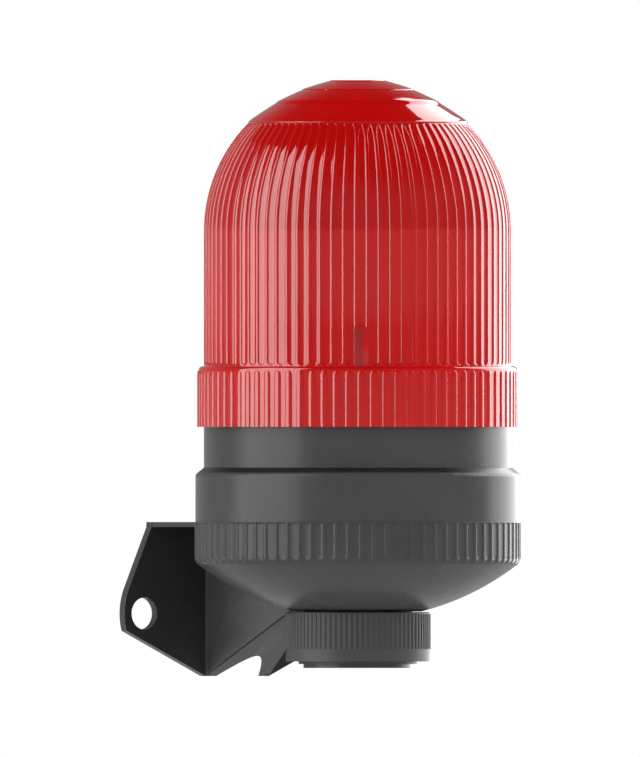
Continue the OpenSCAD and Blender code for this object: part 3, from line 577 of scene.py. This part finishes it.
class CupSection:
    """Rows of points over one rib of the cup, round the closed section of its ribbed wall."""

    # Columns across one rib, and how far it stands out at each of them
    rib_columns = (0, 0.276, 0.305, 0.354, 0.422, 0.5, 0.578, 0.646, 0.695, 0.724, 1)
    rib_shape = (0, 0, 0.283, 0.622, 0.896, 1, 0.896, 0.622, 0.283, 0, 0)
    # Rows over the round edge, and the power by which the grooves get shallower there
    edge_steps, run_out = 12, 1.5
    # Thickness of the ring where it turns back under the cup, how far it reaches into the plain
    # cup, and how far outside that cup's wall its upper face ends
    ring_wall, inner_lap, upper_lap = 0.6 * MM, 0.1 * MM, 0.02 * MM

    def __init__(self, sizes):
        self.s = sizes

    def row(self, radius, height, depth=0.0, lean=0.0):
        """A row whose grooves lie at a depth under a surface that leans down by an angle."""
        return [
            (
                turn - 0.5,
                radius - depth * (1 - shape) * math.cos(lean),
                height + depth * (1 - shape) * math.sin(lean),
            )
            for turn, shape in zip(self.rib_columns, self.rib_shape)
        ]

    def round_edge(self, turn, depth=0.0):
        """Radius and height at an angle along the round edge, and at a depth under it."""
        s = self.s
        reach = s.fillet - depth
        return (
            s.radius - s.fillet + reach * math.cos(turn),
            s.fillet_level - reach * math.sin(turn),
        )

    def rows(self):
        """From the rim down the ribs, over the round edge where they run out, and back inside."""
        s = self.s
        groove_top = s.rim - s.rim_lip
        closing = self.row(s.core + self.upper_lap, s.rim)
        rows = [
            closing,
            self.row(s.radius - SHARP_EDGE, s.rim),
            self.row(s.radius, s.rim - SHARP_EDGE),
            self.row(s.radius, groove_top),
            self.row(s.radius, groove_top - SHARP_EDGE, s.rib_height),
            self.row(s.radius, groove_top - 3 * SHARP_EDGE, s.rib_height),
            self.row(s.radius, s.fillet_level + 3 * SHARP_EDGE, s.rib_height),
            self.row(s.radius, s.fillet_level, s.rib_height),
        ]
        for i in range(1, self.edge_steps + 1):
            a = s.fillet_turn * i / self.edge_steps
            depth = s.rib_height * (1 - i / self.edge_steps) ** self.run_out
            rows.append(self.row(*self.round_edge(a), depth, a))
        rows.append(self.row(*self.round_edge(s.fillet_turn, self.ring_wall)))
        inner = s.core - self.inner_lap
        rows += [self.row(inner, s.fillet_level), self.row(inner, s.rim - SHARP_EDGE), closing]
        return rows


def copy_of_node(name):
    """A new piece with the merged mesh of a CAD node."""
    plain_selection()
    bpy.ops.mesh.primitive_cube_add(size=1)
    piece = bpy.context.object
    piece.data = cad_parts[name].data.copy()
    edit_all()
    bpy.ops.mesh.remove_doubles(threshold=MERGE)
    bpy.ops.object.mode_set(mode="OBJECT")
    return piece


def draw_in_cup(piece, sizes):
    """Moves the cup's plain ribs and round edge inside the wall that the ribbed ring covers."""
    lowest = sizes.fillet_level - sizes.fillet
    outermost = sizes.radius + 0.1 * MM
    for vertex in piece.data.vertices:
        out = Vector((vertex.co.x - AXIS.x, vertex.co.y - AXIS.y, 0))
        if sizes.core < out.length < outermost and vertex.co.z > lowest:
            vertex.co -= out.normalized() * (out.length - sizes.core)


def arm_sides(piece):
    """Upright outer faces of the arm, in front of the wings and under the cup."""
    half_width, sideways, level = 8 * MM, 0.9, 0.05
    for face in piece.data.polygons:
        upright = abs(face.normal.x) > sideways and abs(face.normal.z) < level
        outward = face.normal.x * face.center.x > 0
        if upright and outward and face.center.y < WING_FACE and abs(face.center.x) < half_width:
            yield face


def roof_faces(piece):
    """Faces that look up at the level of the roof plate."""
    upward, depth = 0.95, 1 * MM
    for face in piece.data.polygons:
        if face.normal.z > upward and face.center.z > BASE_HIGH.z - depth:
            yield face


def round_arm_edges(piece, sizes):
    """Rounds the long slanting edges of the arm, and puts the rounds in their own slot for a
    painted shade line.
    """
    least_run, least_turn = 10 * MM, math.radians(60)
    normals = {}
    for face in piece.data.polygons:
        for key in face.edge_keys:
            normals.setdefault(key, []).append(face.normal)
    for part in (*piece.data.vertices, *piece.data.polygons):
        part.select = False
    for edge in piece.data.edges:
        a, b = (piece.data.vertices[i].co for i in edge.vertices)
        slants = abs(a.z - b.z) > least_run and abs(a.y - b.y) > least_run
        beside = normals[edge.key]
        edge.select = slants and len(beside) == 2 and beside[0].angle(beside[1]) > least_turn
    bpy.ops.object.mode_set(mode="EDIT")
    bpy.ops.mesh.select_mode(type="EDGE")
    bpy.ops.mesh.bevel(
        offset=sizes.arm_round,
        segments=3,
        affect="EDGES",
        clamp_overlap=False,
        material=ROUND_SLOT,
    )
    bpy.ops.mesh.select_mode(type="VERT")
    bpy.ops.object.mode_set(mode="OBJECT")


# Finishes


class Gloss(NamedTuple):
    """Ends of a surface's roughness, size of its grain in millimetres and strength of its bump."""

    roughness: tuple
    grain_mm: float
    bump: float


CLEAR = Gloss((0.045, 0.06), 3, 0.002)
DULL_MARK = Gloss((0.28, 0.36), 0.5, 0.05)
SATIN = Gloss((0.25, 0.31), 0.25, 0.15)
DULL = Gloss((0.4, 0.5), 0.25, 0.15)
MATT = Gloss((0.55, 0.65), 0.25, 0.15)
RUBBER = Gloss((0.65, 0.8), 0.4, 0.3)
ZINC = Gloss((0.26, 0.4), 0.3, 0.12)
BRASS = Gloss((0.22, 0.34), 0.3, 0.1)
SOLDER_MASK = Gloss((0.25, 0.34), 0.4, 0.05)
BLACK = Gloss((0.3, 0.42), 0.2, 0.1)
IVORY = Gloss((0.35, 0.45), 0.3, 0.08)
TERMINAL = Gloss((0.4, 0.5), 0.25, 0.12)
CONTROL = Gloss((0.34, 0.44), 0.25, 0.1)
SLEEVE = Gloss((0.18, 0.28), 0.6, 0.06)
RESIN = Gloss((0.1, 0.16), 0.5, 0.04)
FLOOR_PAINT = Gloss((0.6, 0.7), 3, 0.05)
# Patches of the slow mottle in a metre, its usual share of a colour, and depth of the fine grain
MOTTLE_SCALE, MOTTLE, GRAIN_DEPTH = 90, 0.07, 0.02 * MM


class Nodes:
    """Short calls to add and link the nodes of a tree."""

    def __init__(self, tree):
        self.tree = tree

    @staticmethod
    def fill(node, values):
        """Sets inputs of a node by their names, with _ for a space."""
        for socket, value in values.items():
            node.inputs[socket.replace("_", " ")].default_value = value
        return node

    def add(self, kind, **values):
        return self.fill(self.tree.nodes.new(kind), values)

    def group(self, tree, **values):
        node = self.add("ShaderNodeGroup")
        node.node_tree = tree
        return self.fill(node, values)

    def link(self, output, node, socket):
        self.tree.links.new(output, node.inputs[socket])

    def place(self):
        """Output with a point's place on its piece."""
        return self.add("ShaderNodeTexCoord").outputs["Object"]

    def along(self, vector, axis):
        """Output with one part of a vector."""
        parts = self.add("ShaderNodeSeparateXYZ")
        self.link(vector, parts, "Vector")
        return parts.outputs[axis]

    def map_range(self, value, **ends):
        """Output with a value mapped from one range to another."""
        node = self.add("ShaderNodeMapRange", **ends)
        self.link(value, node, "Value")
        return node.outputs["Result"]

    def calculate(self, operation, *values):
        """Output of a calculation with numbers and other outputs."""
        node = self.add("ShaderNodeMath")
        node.operation = operation
        for i, value in enumerate(values):
            if isinstance(value, bpy.types.NodeSocket):
                self.link(value, node, i)
            else:
                node.inputs[i].default_value = value
        return node.outputs["Value"]

    def mix(self, factor, low, high):
        """Output with a colour between two colours or colour outputs, by a mask."""
        node = self.add("ShaderNodeMix")
        node.data_type = "RGBA"
        self.link(factor, node, 0)
        ends = [s for s in node.inputs if s.type == "RGBA"]
        for socket, value in zip(ends, (low, high)):
            if isinstance(value, bpy.types.NodeSocket):
                self.tree.links.new(value, socket)
            else:
                socket.default_value = (*value, 1)
        return next(s for s in node.outputs if s.type == "RGBA")


class Shader(Nodes):
    """A new material, with a fine grain and an uneven gloss on its Principled shader."""

    def __init__(self, name, gloss, **values):
        self.material = bpy.data.materials.new(name)
        self.material.use_nodes = True
        super().__init__(self.material.node_tree)
        self.surface = self.fill(self.tree.nodes["Principled BSDF"], values)
        low, high = gloss.roughness
        grain = self.group(
            moulded_grain(),
            Grain_Scale=1 / (gloss.grain_mm * MM),
            Mottle_Scale=MOTTLE_SCALE,
            Low_Roughness=low,
            High_Roughness=high,
        )
        bump = self.add("ShaderNodeBump", Strength=gloss.bump, Distance=GRAIN_DEPTH)
        self.link(grain.outputs["Height"], bump, "Height")
        self.link(bump.outputs["Normal"], self.surface, "Normal")
        self.link(grain.outputs["Roughness"], self.surface, "Roughness")
        self.mottle = grain.outputs["Mottle"]

    def mottled(self, colour_of_piece, spread=MOTTLE):
        """Output with a colour that is a little darker and a little paler in slow patches."""
        tones = [[min(c * k, 1) for c in colour_of_piece] for k in (1 - spread, 1 + spread)]
        return self.mix(self.mottle, *tones)

    def finish(self, colour_output):
        """Gives the surface its colour and returns the material."""
        self.link(colour_output, self.surface, "Base Color")
        return self.material


def moulded_grain():
    """Node group for the fine grain and the slow mottle of a moulded surface, built once."""
    name = "moulded_grain"
    if name in bpy.data.node_groups:
        return bpy.data.node_groups[name]
    tree = bpy.data.node_groups.new(name, "ShaderNodeTree")
    for side, sockets in (
        ("INPUT", ("Grain Scale", "Mottle Scale", "Low Roughness", "High Roughness")),
        ("OUTPUT", ("Height", "Mottle", "Roughness")),
    ):
        for socket in sockets:
            tree.interface.new_socket(socket, in_out=side, socket_type="NodeSocketFloat")
    nodes = Nodes(tree)
    given = nodes.add("NodeGroupInput")
    result = nodes.add("NodeGroupOutput")
    place = nodes.place()

    def noise(scale, detail):
        node = nodes.add("ShaderNodeTexNoise", Detail=detail)
        nodes.link(place, node, "Vector")
        nodes.link(given.outputs[scale], node, "Scale")
        return node.outputs["Fac"]

    mottle = nodes.map_range(noise("Mottle Scale", detail=4), From_Min=0.3, From_Max=0.7)
    rough = nodes.add("ShaderNodeMapRange")
    nodes.link(mottle, rough, "Value")
    nodes.link(given.outputs["Low Roughness"], rough, "To Min")
    nodes.link(given.outputs["High Roughness"], rough, "To Max")
    nodes.link(noise("Grain Scale", detail=3), result, "Height")
    nodes.link(mottle, result, "Mottle")
    nodes.link(rough.outputs["Result"], result, "Roughness")
    return tree


def moulded(name, colour_of_piece, gloss, spread=MOTTLE, **values):
    """A plastic, rubber or metal with a fine grain, a slow mottle and an uneven gloss."""
    shader = Shader(name, gloss, **values)
    return shader.finish(shader.mottled(colour_of_piece, spread))


def housing_plastic(name, colour_of_piece, shade_colour, axis, shade_range, **values):
    """Satin plastic with a painted shade: a darker colour between two places along an axis."""
    shader = Shader(name, SATIN, **values)
    along = shader.along(shader.place(), axis)
    rise, fall = shade_range
    after = shader.map_range(along, From_Min=rise[0], From_Max=rise[1])
    before = shader.map_range(along, From_Min=fall[0], From_Max=fall[1], To_Min=1, To_Max=0)
    # Mask of the painted shade, which rises between the first pair of places and falls between the
    # second
    darkened = shader.calculate("MULTIPLY", after, before)
    ends = shader.mottled(colour_of_piece), shader.mottled(shade_colour)
    return shader.finish(shader.mix(darkened, *ends))


def lens_plastic(sizes, finishes):
    """Clear red plastic, painted a darker red on the dome and cap as a painted shade for the
    lesser light there.
    """
    shader = Shader("lens_red", CLEAR, IOR=1.5)
    dome, blend, spread = LensSection(sizes).dome, 0.8 * MM, 0.04
    height = shader.along(shader.place(), "Z")
    # The painted shade of the dome comes in just above the straight wall
    above = shader.map_range(height, From_Min=dome, From_Max=dome + blend)
    ends = shader.mottled(finishes.lens, spread), shader.mottled(finishes.lens_dome_painted_shade, spread)
    return shader.finish(shader.mix(above, *ends))


def circuit_board(name, mask, track):
    """Solder mask over straight copper tracks."""
    shader = Shader(name, SOLDER_MASK, IOR=1.5)
    tracks = shader.add(
        "ShaderNodeTexBrick",
        Scale=1,
        Mortar_Size=0.2 * MM,
        Mortar_Smooth=0.1,
        Brick_Width=23 * MM,
        Row_Height=1.3 * MM,
    )
    shader.link(shader.place(), tracks, "Vector")
    return shader.finish(shader.mix(tracks.outputs["Fac"], shader.mottled(mask), track))


def dress(material, *nodes):
    """Gives CAD nodes a finish."""
    for name in nodes:
        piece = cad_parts[name]
        if not piece.material_slots:
            piece.data.materials.append(material)
        for slot in piece.material_slots:
            slot.material = material


def coat(name, colour_of_piece, gloss, *nodes, **values):
    """Gives CAD nodes a moulded finish."""
    dress(moulded(name, colour_of_piece, gloss, **values), *nodes)


# Studio

# Level of the dim studio in reflections, from straight below at 0 to straight above at 1
REFLECTED = (
    (0.0, 0.8), (0.5, 0.55), (0.512, 0.5), (0.52, 0.3), (0.68, 0.3), (0.85, 0.04), (1.0, 0.0)
)


def make_floor(studio):
    """Plain pale floor, well below the lamp."""
    plain_selection()
    bpy.ops.mesh.primitive_grid_add(x_subdivisions=8, y_subdivisions=8, size=6)
    floor = bpy.context.object
    floor.name = "studio_floor"
    floor.location = (AXIS.x, AXIS.y, studio.floor_level)
    paint = moulded("floor_paint", studio.floor_colour, FLOOR_PAINT, spread=0.012)
    floor.data.materials.append(paint)


def soft_box(studio, name, degrees_right, width, low, high, radiance):
    """An upright light that faces the lamp's axis, between two heights about the target."""
    a = math.radians(degrees_right)
    direction = math.cos(a) * TOWARDS + math.sin(a) * RIGHT
    middle = Vector(studio.target) + direction * studio.distance + UP * (low + high) / 2
    plain_selection()
    bpy.ops.object.light_add(type="AREA", location=middle)
    box = bpy.context.object
    box.name = name
    box.rotation_euler = (-direction).to_track_quat("-Z", "Y").to_euler()
    box.data.shape = "RECTANGLE"
    box.data.size = width
    box.data.size_y = high - low
    box.data.energy = radiance * math.pi * width * (high - low)
    box.visible_camera = False
    box.visible_diffuse = False


def make_soft_boxes(studio):
    """One soft box at the left of the camera, and one at the right behind the lamp."""
    low = -0.15
    soft_box(studio, "left_soft_box", -69, width=0.61, low=low, high=0.81, radiance=5.5)
    soft_box(studio, "right_soft_box", 135, width=0.686, low=low, high=0.78, radiance=5.2)


def reflected_level(nodes, up):
    """Output with the level of the studio in reflections, by how far up they look."""
    ramp = nodes.add("ShaderNodeValToRGB")
    stops = ramp.color_ramp.elements
    while len(stops) < len(REFLECTED):
        stops.new(0.5)
    for stop, (place_up, level) in zip(stops, REFLECTED):
        stop.position = place_up
        stop.color = (level, level, level, 1)
    nodes.link(nodes.map_range(up, From_Min=-1, From_Max=1), ramp, "Fac")
    return ramp.outputs["Color"]


def side_weight(nodes, direction, share):
    """Output with the weight of light by how far to a side it comes from.

    The front of an upright wall keeps its level, whatever the share from the sides.
    """
    across = nodes.add("ShaderNodeVectorMath")
    across.operation = "DOT_PRODUCT"
    across.inputs[1].default_value = RIGHT
    nodes.link(direction, across, 0)
    squared = nodes.calculate("POWER", across.outputs["Value"], 2)
    return nodes.calculate("ADD", nodes.calculate("MULTIPLY", squared, share), 1 - share / 4)


def make_surroundings(scene, studio):
    """White behind the lamp for the camera, even light, and a dim studio in reflections."""
    world = bpy.data.worlds.new("studio_surroundings")
    world.use_nodes = True
    scene.world = world
    nodes = Nodes(world.node_tree)
    background = nodes.fill(world.node_tree.nodes["Background"], {"Color": (1, 1, 1, 1)})
    direction = nodes.add("ShaderNodeTexCoord").outputs["Generated"]
    up = nodes.along(direction, "Z")
    rays = nodes.add("ShaderNodeLightPath")
    glossy = rays.outputs["Is Glossy Ray"]
    seen = nodes.calculate(
        "MAXIMUM", rays.outputs["Is Camera Ray"], rays.outputs["Is Transmission Ray"]
    )
    in_reflection = nodes.calculate("MULTIPLY", glossy, reflected_level(nodes, up))
    soft = nodes.map_range(up, To_Min=studio.horizon, To_Max=studio.zenith)
    sides = side_weight(nodes, direction, studio.side_light)
    even = nodes.calculate("MULTIPLY", soft, sides)
    lit = nodes.calculate("SUBTRACT", 1, nodes.calculate("MAXIMUM", seen, glossy))
    on_surfaces = nodes.calculate("MULTIPLY", lit, even)
    behind = nodes.calculate("ADD", seen, in_reflection)
    nodes.link(nodes.calculate("ADD", behind, on_surfaces), background, "Strength")


def make_camera(scene, studio):
    """Level parallel view towards the lamp."""
    target = Vector(studio.target)
    plain_selection()
    bpy.ops.object.camera_add(location=target + TOWARDS * studio.distance)
    camera = bpy.context.object
    camera.name = "studio_camera"
    camera.rotation_euler = (-TOWARDS).to_track_quat("-Z", "Y").to_euler()
    camera.data.type = "ORTHO"
    camera.data.ortho_scale = studio.frame_height
    scene.camera = camera
    scene.view_settings.view_transform = "Standard"


# Operators


class SIGNAL_OT_lens(bpy.types.Operator):
    """Model the fluted lens with its cap, skirt, index mark and bayonet lugs"""

    bl_idname = "signal.lens"
    bl_label = "Lens"

    def execute(self, context):
        sizes = context.scene.signal_lens
        finishes = context.scene.signal_finishes
        section = LensSection(sizes)
        lens = model_spun_panel(section.rows(), sizes.flutes, sizes.ridge_turn)
        edge = section.skirt_top - sizes.skirt_round
        plate = model_lens_bar(
            sizes, sizes.plate_turn, sizes.plate_width, sizes.plate_proud, edge
        )
        mark = model_lens_bar(sizes, sizes.mark_turn, sizes.mark_width, sizes.mark_proud, edge)
        turns = [i * 2 * math.pi / sizes.lugs for i in range(sizes.lugs)]
        lugs = [model_lens_lug(sizes, turn) for turn in turns]
        red = lens_plastic(sizes, finishes)
        for piece in (lens, plate, *lugs):
            piece.data.materials.append(red)
        mark.data.materials.append(moulded("lens_mark", finishes.mark, DULL_MARK, IOR=1.5))
        join_pieces(lens, [plate, mark, *lugs])
        lens = finish_piece("red_lens", smooth_degrees=34)
        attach(lens, "lens")
        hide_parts("lens")
        return {"FINISHED"}


class SIGNAL_OT_bracket(bpy.types.Operator):
    """Model the wall bracket, with ribs that run out over the cup's round edge"""

    bl_idname = "signal.bracket"
    bl_label = "Wall bracket"

    def execute(self, context):
        sizes = context.scene.signal_bracket
        finishes = context.scene.signal_finishes
        tones = finishes.housing, finishes.painted_shade
        # Painted shade on the wings' front faces, for the shade behind the cup and under the roof
        satin = housing_plastic("bracket_satin_painted_shade", *tones, "Y", WING_PAINTED_SHADE, IOR=1.21)
        # Painted shade on the arm's sides, growing darker towards the bottom
        shaded = housing_plastic("arm_satin_painted_shade", *tones, "Z", ARM_PAINTED_SHADE, IOR=1.21)
        # The arm's rounds get the painted shade colour and a rougher gloss, a painted dark line
        # along the edges
        darkened = moulded("arm_round", finishes.painted_shade, DULL, IOR=1.21)
        roof = moulded("roof_matt", finishes.housing, MATT, IOR=1.12)
        bracket = copy_of_node("wall_base")
        bracket.data.materials.clear()
        for material in (satin, shaded, darkened, roof):
            bracket.data.materials.append(material)
        draw_in_cup(bracket, sizes)
        for face in arm_sides(bracket):
            face.material_index = SIDE_SLOT
        for face in roof_faces(bracket):
            face.material_index = ROOF_SLOT
        round_arm_edges(bracket, sizes)
        ring = model_spun_panel(CupSection(sizes).rows(), sizes.ribs, sizes.rib_turn)
        ring.data.materials.append(satin)
        join_pieces(bracket, [ring])
        bracket = finish_piece("wall_bracket", smooth_degrees=30)
        even_normals(bracket)
        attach(bracket, "housing")
        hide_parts("wall_base")
        return {"FINISHED"}


class SIGNAL_OT_housing(bpy.types.Operator):
    """Give the lamp body and the clamp nut their satin moulded finish"""

    bl_idname = "signal.housing"
    bl_label = "Housing"

    def execute(self, context):
        finishes = context.scene.signal_finishes
        tones = finishes.housing, finishes.shoulder
        # The lamp body gets a band of painted shade on the shoulder under its neck
        dress(housing_plastic("housing_satin_painted_shade", *tones, "Z", SHOULDER_PAINTED_SHADE, IOR=1.22), "lamp_body")
        coat("nut_satin", finishes.nut, DULL, "clamp_nut", spread=0.04, IOR=1.24)
        return {"FINISHED"}


class SIGNAL_OT_seals(bpy.types.Operator):
    """Give the gasket, the grommet and the lens seal their soft rubber finish"""

    bl_idname = "signal.seals"
    bl_label = "Seals"

    def execute(self, context):
        finishes = context.scene.signal_finishes
        seals = "seat_gasket", "cable_grommet", "lens_seal"
        coat("seal_rubber", finishes.rubber, RUBBER, *seals)
        return {"FINISHED"}


class SIGNAL_OT_metalwork(bpy.types.Operator):
    """Give the screws, the washer, the wire cages and the sounder's disc their metal finish"""

    bl_idname = "signal.metalwork"
    bl_label = "Metalwork"

    def execute(self, context):
        finishes = context.scene.signal_finishes
        plated = "nut_washer", "board_screws", "terminal_screws"
        coat("zinc_steel", finishes.steel, ZINC, *plated, Metallic=1)
        coat("plain_brass", finishes.brass, BRASS, "buzzer_disc", "terminal_cages", Metallic=1)
        return {"FINISHED"}


class SIGNAL_OT_boards(bpy.types.Operator):
    """Give the two circuit boards their solder mask and tracks"""

    bl_idname = "signal.boards"
    bl_label = "Boards"

    def execute(self, context):
        finishes = context.scene.signal_finishes
        green = circuit_board("green_mask", finishes.board, finishes.board_track)
        dress(green, "main_board")
        white = circuit_board("white_mask", finishes.light_board, finishes.light_board_track)
        dress(white, "led_board")
        return {"FINISHED"}


class SIGNAL_OT_electronics(bpy.types.Operator):
    """Give the sounder, the terminals, the controls and the lights their plastics"""

    bl_idname = "signal.electronics"
    bl_label = "Sounder and electronics"

    def execute(self, context):
        finishes = context.scene.signal_finishes
        black = "buzzer_base", "buzzer_case", "driver_chip", "board_header"
        coat("black_plastic", finishes.black, BLACK, *black)
        ivory = "volume_rotor", "tone_lever_1", "tone_lever_2", "led_spacers"
        coat("ivory_plastic", finishes.ivory, IVORY, *ivory)
        coat("terminal_plastic", finishes.terminal, TERMINAL, "terminal_block")
        coat("volume_plastic", finishes.blue, CONTROL, "volume_body")
        coat("tone_plastic", finishes.red, CONTROL, "tone_switch")
        coat("capacitor_sleeve", finishes.sleeve, SLEEVE, "capacitor")
        coat("light_resin", finishes.resin, RESIN, "leds")
        return {"FINISHED"}


class SIGNAL_OT_stage(bpy.types.Operator):
    """Set up the floor, the soft boxes, the surroundings and the camera"""

    bl_idname = "signal.stage"
    bl_label = "Stage"

    def execute(self, context):
        studio = context.scene.signal_studio
        make_floor(studio)
        make_soft_boxes(studio)
        make_surroundings(context.scene, studio)
        make_camera(context.scene, studio)
        return {"FINISHED"}


class VIEW3D_PT_signal(bpy.types.Panel):
    """Lists the pieces of the signal buzzer"""

    bl_label = "Signal Buzzer"
    bl_space_type = "VIEW_3D"
    bl_region_type = "UI"
    bl_category = "Signal"

    def draw(self, context):
        for operator in OPERATORS:
            self.layout.operator(operator.bl_idname)


OPERATORS = (
    SIGNAL_OT_lens,
    SIGNAL_OT_bracket,
    SIGNAL_OT_housing,
    SIGNAL_OT_seals,
    SIGNAL_OT_metalwork,
    SIGNAL_OT_boards,
    SIGNAL_OT_electronics,
    SIGNAL_OT_stage,
)
GROUPS = {
    "signal_lens": LensSizes,
    "signal_bracket": BracketSizes,
    "signal_finishes": Finishes,
    "signal_studio": Studio,
}


def register():
    for group in GROUPS.values():
        bpy.utils.register_class(group)
    for name, group in GROUPS.items():
        setattr(bpy.types.Scene, name, bpy.props.PointerProperty(type=group))
    for cls in (*OPERATORS, VIEW3D_PT_signal):
        bpy.utils.register_class(cls)


def unregister():
    for cls in reversed((*OPERATORS, VIEW3D_PT_signal)):
        bpy.utils.unregister_class(cls)
    for name in GROUPS:
        delattr(bpy.types.Scene, name)
    for group in reversed(GROUPS.values()):
        bpy.utils.unregister_class(group)


def main():
    register()
    bpy.ops.signal.lens()
    bpy.ops.signal.bracket()
    bpy.ops.signal.housing()
    bpy.ops.signal.seals()
    bpy.ops.signal.metalwork()
    bpy.ops.signal.boards()
    bpy.ops.signal.electronics()
    bpy.ops.signal.stage()


if __name__ == "__main__":
    main()
